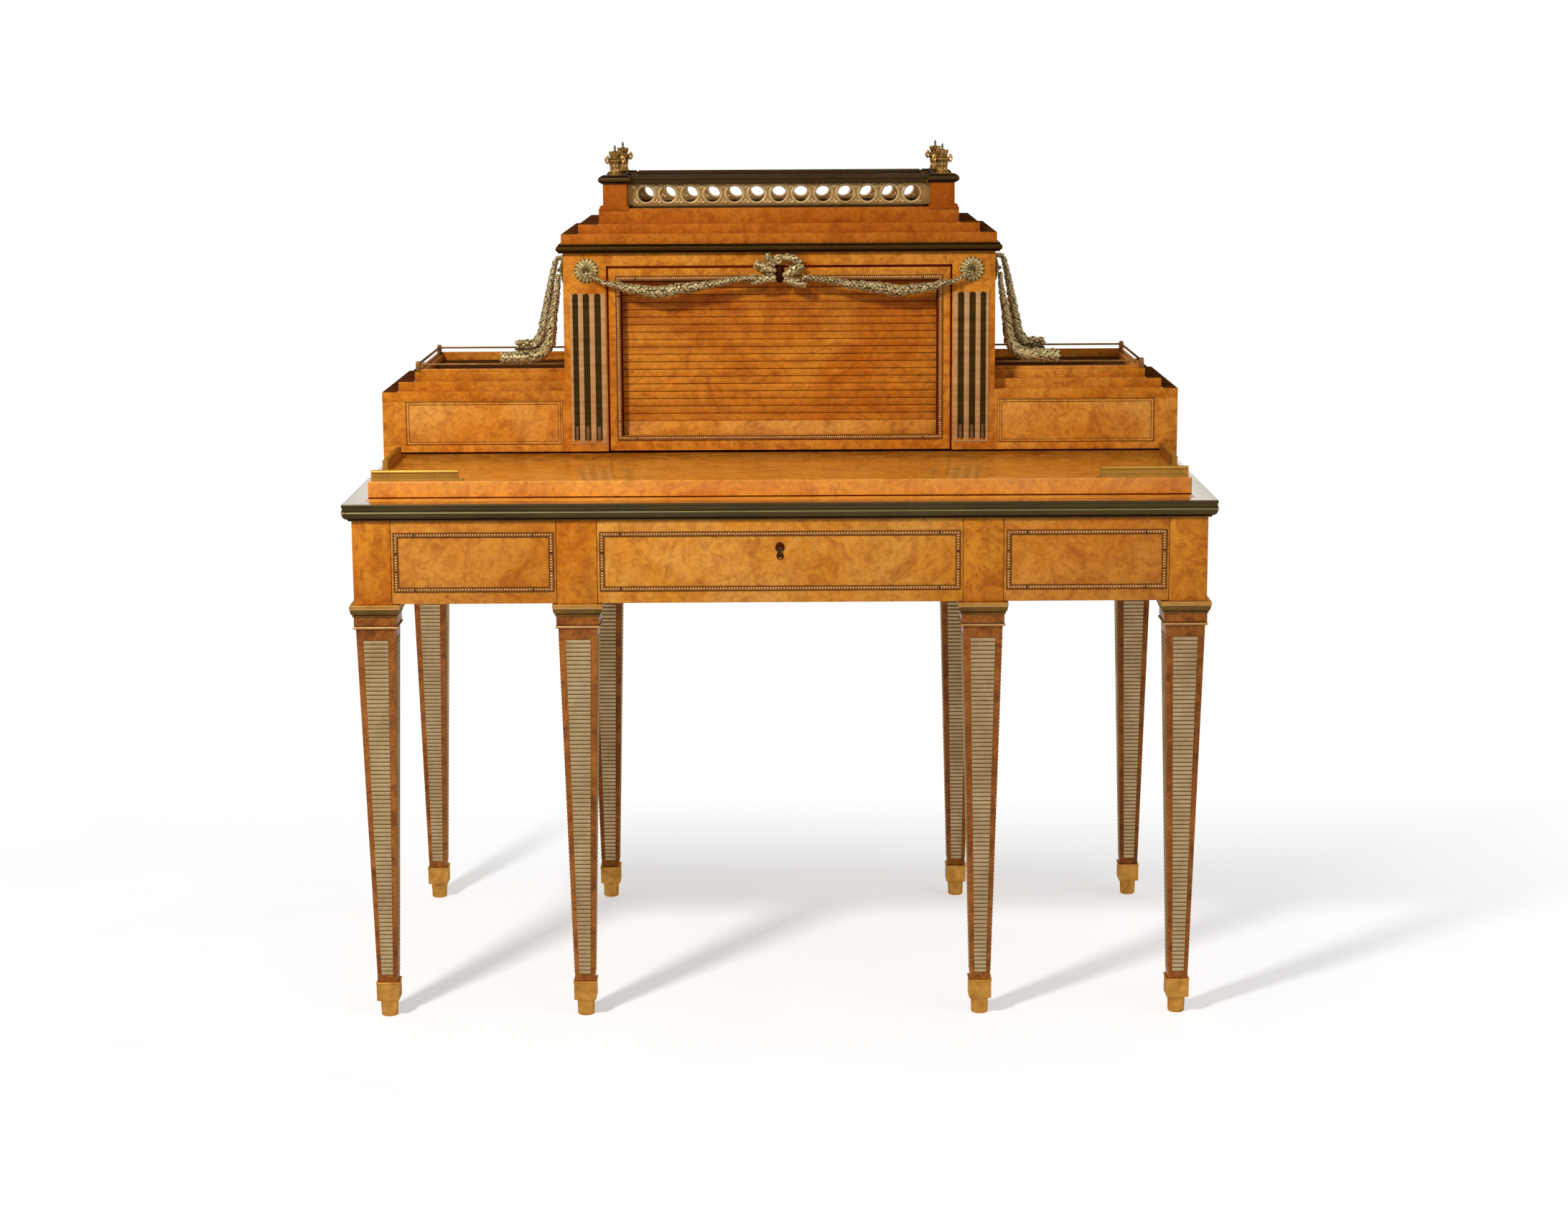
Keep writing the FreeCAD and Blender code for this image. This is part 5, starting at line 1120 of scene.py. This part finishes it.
def rosette_shape():
    """Two rows of pointed petals and a ring of seeds round a boss and disc darkened as painted
    shade, facing +Z.
    """
    bm = bmesh.new()
    stamp(bm, turned([(0, 0), (17.8, 0), (18.2, 0.8), (16.8, 1.6), (12, 2.0), (0, 2.2)], 36),
          [Matrix()])
    stamp(bm, turned([(0, 0), (5.2, 0), (5.5, 3), (4.8, 5.4), (3.4, 6.4), (2.6, 8.4), (2.2, 10),
                      (0, 10.8)], 20), [Matrix()])
    # The disc and boss take the dark finish of painted shade
    marked(bm.faces, 1)
    for count, length, width, inner, height, curl in ((17, 14.6, 6.2, 6.0, 1.8, 0.2),
                                                      (15, 10.4, 4.0, 3.6, 3.8, 0.32)):
        stamp(bm, leaf_shape(length, width, width * 0.6, curl),
              [move(0, 0, height) @ rotate(angle, "Z") @ move(inner, 0, 0)
               for angle in circle_angles(count)])
    seed = bmesh.new()
    bmesh.ops.create_icosphere(seed, subdivisions=1, radius=1.1)
    stamp(bm, seed, [move(4.6 * math.cos(a), 4.6 * math.sin(a), 6.2) for a in circle_angles(9)])
    return bm


def build_rosettes():
    """Two rosettes on the front and two on each side of the cabinet."""
    spots = [move(x, CASE_Y, ROSETTE_Z) @ FACING_FRONT for x in (-ROSETTE_X, ROSETTE_X)]
    spots += [move(CABINET_X * side, y, ROSETTE_Z) @ rotate(side * math.pi / 2, "Y")
              for y in SIDE_ROSETTE_Y for side in (1, -1)]
    bm = bmesh.new()
    stamp(bm, rosette_shape(), spots)
    finish("rosette_petals", bm, "petal leaf_deep", "rosettes")


# Run, sag and thickness of a front garland
FRONT_GARLAND = ((0.0, 0.10, 0.31), (0.06, 0.36, 0.31), (0.11, 0.56, 0.38), (0.19, 0.66, 0.57),
                 (0.24, 0.80, 0.75), (0.36, 0.93, 0.90), (0.42, 1.00, 1.00), (0.50, 0.92, 1.00),
                 (0.57, 0.82, 0.93), (0.66, 0.74, 0.80), (0.74, 0.67, 0.64), (0.83, 0.50, 0.50),
                 (0.92, 0.40, 0.42), (1.00, 0.34, 0.40))
# Reach, run back, fall and thickness of the side garlands
NEAR_GARLAND = ((0.012, 0.10, 0.135, 0.36), (0.055, 0.30, 0.295, 0.50),
                (0.110, 0.50, 0.463, 0.62), (0.143, 0.68, 0.654, 0.75),
                (0.187, 0.85, 0.837, 0.85), (0.297, 0.96, 0.937, 0.93),
                (0.470, 1.00, 0.990, 1.00), (1.000, 1.00, 1.000, 1.00))
FAR_GARLAND = ((0.250, 0.07, 0.030, 0.36), (0.330, 0.25, 0.220, 0.50),
               (0.412, 0.42, 0.475, 0.66), (0.468, 0.62, 0.673, 0.82),
               (0.525, 0.80, 0.860, 0.93), (0.640, 1.00, 0.985, 1.00),
               (1.000, 1.00, 1.000, 1.00))


def resampled(points, radii, step):
    """Points, directions and radii at even steps along a line of points."""
    lengths = [(b - a).length for a, b in zip(points, points[1:])]
    total = sum(lengths)
    count = max(2, round(total / step))
    rows = []
    for index in range(count + 1):
        left = total * index / count
        for start, end, low, high, length in zip(points, points[1:], radii, radii[1:], lengths):
            if left <= length or end is points[-1]:
                share = min(left / length, 1.0)
                rows.append((start.lerp(end, share), (end - start).normalized(),
                             low + (high - low) * share))
                break
            left -= length
    return rows


def garland(bm, points, radii, draw, step=3.2, plump=1.0):
    """Bundles of leaves and berries wound round a line, leaning along it, over a core darkened as
    painted shade.
    """
    berry_share, berry_radius, bundle_length = 0.3, 1.3, 13
    leaves, berries, core = [], [], []
    for index, (spot, ahead, radius) in enumerate(resampled(points, radii, step)):
        line = Matrix.Translation(spot) @ ahead.to_track_quat("X", "Z").to_matrix().to_4x4()
        bundle = 1 + 0.14 * math.sin(math.tau * index * step / bundle_length)
        core.append([line @ (Vector((0, math.cos(a), math.sin(a))) * radius * 0.66)
                     for a in circle_angles(8)])
        number = 6 if radius > 5 else 5 if radius > 3.4 else 4
        for around in range(number):
            angle = math.tau * (around + 0.5 * (index % 2)) / number + draw.uniform(-0.25, 0.25)
            size = (radius * 0.66 + 2.8) * plump * bundle * draw.uniform(0.88, 1.14)
            lean = rotate(-math.radians(draw.uniform(12, 28)), "Y")
            leaves.append(line @ rotate(angle, "X") @ move(-size * 0.35, 0, radius * 0.58) @ lean
                          @ sized(size, size, size))
            if draw.random() < berry_share:
                berries.append(line @ rotate(angle + 0.6, "X") @ move(0, 0, radius * 0.9))
    before = set(bm.faces)
    # The core is dark as painted shade between the leaves
    loft(bm, core)
    marked(set(bm.faces) - before, 1)
    stamp(bm, leaf_shape(1.0, 0.68, 0.26, 0.3), leaves)
    berry = bmesh.new()
    bmesh.ops.create_icosphere(berry, subdivisions=1, radius=berry_radius)
    stamp(bm, berry, berries)


def build_front_garlands():
    """A garland from each front rosette to the bow."""
    draw = random.Random(7)
    bm = bmesh.new()
    run, fall, thickness = ROSETTE_X - 38, 33, 10.0
    for side in (-1, 1):
        garland(bm, [Vector(((ROSETTE_X - run * share) * side, -2.6, ROSETTE_Z - fall * sag))
                     for share, sag, width in FRONT_GARLAND],
                [thickness * width for share, sag, width in FRONT_GARLAND], draw)
    finish("front_garland_leaves", outward(bm), "leaf leaf_deep", "front_garlands")


def build_side_garlands():
    """A garland from each side rosette down to the wing's top."""
    draw = random.Random(11)
    bm = bmesh.new()
    top_radius, thickness = 3.2, 11.2
    for side in (-1, 1):
        for start, end, rows in (((342, 33, 1075.4), (433, 60, 944.4), NEAR_GARLAND),
                                 ((344.9, 325, 1087), (435, 338.9, 937.2), FAR_GARLAND)):
            points = [Vector((start[0] * side, start[1], start[2]))]
            for row in rows:
                x, y, z = (low + (high - low) * share for low, high, share in zip(start, end, row))
                points.append(Vector((x * side, y, z)))
            garland(bm, points, [top_radius] + [thickness * row[-1] for row in rows], draw)
    finish("side_garland_leaves", outward(bm), "leaf leaf_deep", "side_garlands")


def ribbon(bm, points, widths, thickness):
    """A flat band through points, with its flat side towards the front."""
    sections = []
    for index, point in enumerate(points):
        before = points[max(index - 1, 0)]
        after = points[min(index + 1, len(points) - 1)]
        across = Vector((0, 1, 0)).cross((after - before).normalized()).normalized()
        half = widths[index] / 2
        sections.append([point + across * a * half + Vector((0, b * thickness / 2, 0))
                         for a, b in ((-1, -0.4), (0, -1), (1, -0.4), (1, 0.4), (0, 1), (-1, 0.4))])
    loft(bm, sections)


def build_bow():
    """Two scrolls and six leafy tails round a knot darkened as painted shadow, where the front
    garlands meet.
    """
    draw = random.Random(5)
    bm = bmesh.new()
    # The knot is a dark boss of painted shadow in the gap at the middle of the bow
    knot = turned([(0, -8), (6.5, -8), (7, -6), (5, -4), (0, -3.5)], 18)
    marked(knot.faces, 2)
    stamp(bm, knot, [move(1, 0, 1077) @ FACING_FRONT @ sized(1, 2, 1)])
    for x, z, size, turn in ((-0.6, 1098.6, 1.0, 0.0), (-17.5, 1104.0, 0.5, 0.3)):
        spiral = [Vector((x + size * r * math.cos(a + turn), 1.5 - 2.2 * size * (1 - r / 8),
                          z + size * r * math.sin(a + turn)))
                  for r, a in ((8.0 - 0.42 * k, 0.62 * k) for k in range(16))]
        ribbon(bm, spiral, [4.2 * size] * len(spiral), 5.0)
    for tail in (((-8, 1079.5, 5.5), (-16, 1084.5, 6.4), (-26, 1088.5, 6.0), (-34, 1092.5, 4.0)),
                 ((-7, 1070.2, 5.6), (-16, 1070.0, 6.6), (-28, 1068.0, 6.2), (-39, 1065.5, 4.4)),
                 ((-9, 1090, 3.6), (-14, 1098, 5.0), (-18, 1104, 4.2)),
                 ((7, 1101.5, 3.6), (14, 1102.5, 5.6), (23, 1100.0, 5.4), (31, 1096.5, 3.6)),
                 ((9, 1073, 6.0), (16, 1078.5, 7.6), (25, 1084.5, 7.0), (33, 1089.5, 4.6)),
                 ((9, 1069, 5.6), (18, 1066.5, 6.2), (28, 1063.5, 5.8), (38, 1060.5, 4.0))):
        garland(bm, [Vector((x, 0.0, z)) for x, z, radius in tail],
                [radius for x, z, radius in tail], draw, 4.4, 1.45)
    finish("bow_ribbon", outward(bm), "leaf leaf_deep knot", "ribbon_bow")


# Sizes and colours that a user may change

class DeskSizes(bpy.types.PropertyGroup):
    wood_edge: bpy.props.FloatProperty(
        name="Wood edge", description="Rounding of the edges of the boards",
        default=0.0006, min=0.0001, unit="LENGTH", precision=5)
    rib_pitch: bpy.props.FloatProperty(
        name="Rib pitch", description="Distance between the ribs on the legs",
        default=0.0063, min=0.003, unit="LENGTH", precision=5)
    bead_pitch: bpy.props.FloatProperty(
        name="Bead pitch", description="Distance between the beads round the drawers",
        default=0.004, min=0.002, unit="LENGTH", precision=5)
    ambient: bpy.props.FloatProperty(
        name="Ambient light", description="Strength of the light from all round",
        default=0.38, min=0.0)
    key_light: bpy.props.FloatProperty(
        name="Key light", description="Power of the lamp at the left of the front",
        default=82.0, min=0.0, unit="POWER")
    fill_light: bpy.props.FloatProperty(
        name="Fill light", description="Strength of the soft light from the right",
        default=0.42, min=0.0)


def colour(name, description, value):
    return bpy.props.FloatVectorProperty(name=name, description=description, default=value,
                                         min=0.0, max=1.0, subtype="COLOR", size=3)


class DeskColours(bpy.types.PropertyGroup):
    straw: colour("Straw", "The palest tone of the drawers", srgb(220, 152, 66))
    honey: colour("Honey", "The pale tone of the veneer", srgb(212, 136, 40))
    amber: colour("Amber", "The main tone of the veneer", srgb(196, 112, 22))
    chestnut: colour("Chestnut", "The dark figure of the veneer", srgb(140, 60, 8))
    gilt: colour("Gilt", "Bright gilding", srgb(214, 158, 76))
    dull_gilt: colour("Dull gilt", "Rubbed and toned gilding", srgb(140, 92, 34))


class DeskOperator:
    """What every operator of the desk has in common."""
    bl_options = {"REGISTER", "UNDO"}
    steps = ()

    def execute(self, context):
        for step in self.steps:
            step()
        return {"FINISHED"}


class DESK_OT_finishes(DeskOperator, bpy.types.Operator):
    """Make the veneers, woods and metals"""
    bl_idname = "desk.finishes"
    bl_label = "Finishes"
    steps = (make_finishes,)


class DESK_OT_stage(DeskOperator, bpy.types.Operator):
    """Add the floor, the lamps and the camera"""
    bl_idname = "desk.stage"
    bl_label = "Stage"
    steps = (build_floor, build_light, build_camera)


class DESK_OT_legs(DeskOperator, bpy.types.Operator):
    """Add the wood of the legs"""
    bl_idname = "desk.legs"
    bl_label = "Legs"
    steps = (build_legs,)


class DESK_OT_leg_mounts(DeskOperator, bpy.types.Operator):
    """Add the ribs, capitals and sabots of the legs"""
    bl_idname = "desk.leg_mounts"
    bl_label = "Leg mounts"
    steps = (build_rib_panels, build_capitals, build_sabots)


class DESK_OT_frieze(DeskOperator, bpy.types.Operator):
    """Add the frieze and the table top"""
    bl_idname = "desk.frieze"
    bl_label = "Frieze and top"
    steps = (build_frieze, build_table_edge)


class DESK_OT_drawers(DeskOperator, bpy.types.Operator):
    """Add the three drawers of the frieze"""
    bl_idname = "desk.drawers"
    bl_label = "Drawers"
    steps = (build_drawers, build_escutcheon)


class DESK_OT_beads(DeskOperator, bpy.types.Operator):
    """Add the beaded frames of the drawers and of the door"""
    bl_idname = "desk.beads"
    bl_label = "Bead frames"
    steps = (build_bead_frames,)


class DESK_OT_slide(DeskOperator, bpy.types.Operator):
    """Add the writing slide and its rails"""
    bl_idname = "desk.slide"
    bl_label = "Writing slide"
    steps = (build_slide, build_slab_rails)


class DESK_OT_case(DeskOperator, bpy.types.Operator):
    """Add the upper case and its wings"""
    bl_idname = "desk.case"
    bl_label = "Upper case"
    steps = (build_case, build_wing_drawers, build_wing_galleries, build_flutes)


class DESK_OT_tambour(DeskOperator, bpy.types.Operator):
    """Add the slats of the tambour and their rail"""
    bl_idname = "desk.tambour"
    bl_label = "Tambour"
    steps = (build_tambour,)


class DESK_OT_gallery(DeskOperator, bpy.types.Operator):
    """Add the cornice, the pierced gallery and the finials"""
    bl_idname = "desk.gallery"
    bl_label = "Cornice and gallery"
    steps = (build_cornice, build_coping, build_frets, build_finials)


class DESK_OT_ornaments(DeskOperator, bpy.types.Operator):
    """Add the rosettes, the garlands and the bow"""
    bl_idname = "desk.ornaments"
    bl_label = "Ornaments"
    steps = (build_rosettes, build_front_garlands, build_side_garlands, build_bow)


OPERATORS = (DESK_OT_finishes, DESK_OT_stage, DESK_OT_legs, DESK_OT_leg_mounts, DESK_OT_frieze,
             DESK_OT_drawers, DESK_OT_beads, DESK_OT_slide, DESK_OT_case, DESK_OT_tambour,
             DESK_OT_gallery, DESK_OT_ornaments)


class DESK_PT_panel(bpy.types.Panel):
    """The desk's tools in the sidebar"""
    bl_idname = "DESK_PT_panel"
    bl_label = "Writing desk"
    bl_space_type = "VIEW_3D"
    bl_region_type = "UI"
    bl_category = "Desk"

    def draw(self, context):
        for group in (context.scene.desk_sizes, context.scene.desk_colours):
            for name in group.__annotations__:
                self.layout.prop(group, name)
        for operator in OPERATORS:
            self.layout.operator(operator.bl_idname)


CLASSES = (DeskSizes, DeskColours, *OPERATORS, DESK_PT_panel)


def register():
    for item in CLASSES:
        bpy.utils.register_class(item)
    bpy.types.Scene.desk_sizes = bpy.props.PointerProperty(type=DeskSizes)
    bpy.types.Scene.desk_colours = bpy.props.PointerProperty(type=DeskColours)


def unregister():
    del bpy.types.Scene.desk_colours
    del bpy.types.Scene.desk_sizes
    for item in reversed(CLASSES):
        bpy.utils.unregister_class(item)


def main():
    register()
    for operator in OPERATORS:
        getattr(bpy.ops.desk, operator.bl_idname.split(".")[1])()


if __name__ == "__main__":
    main()
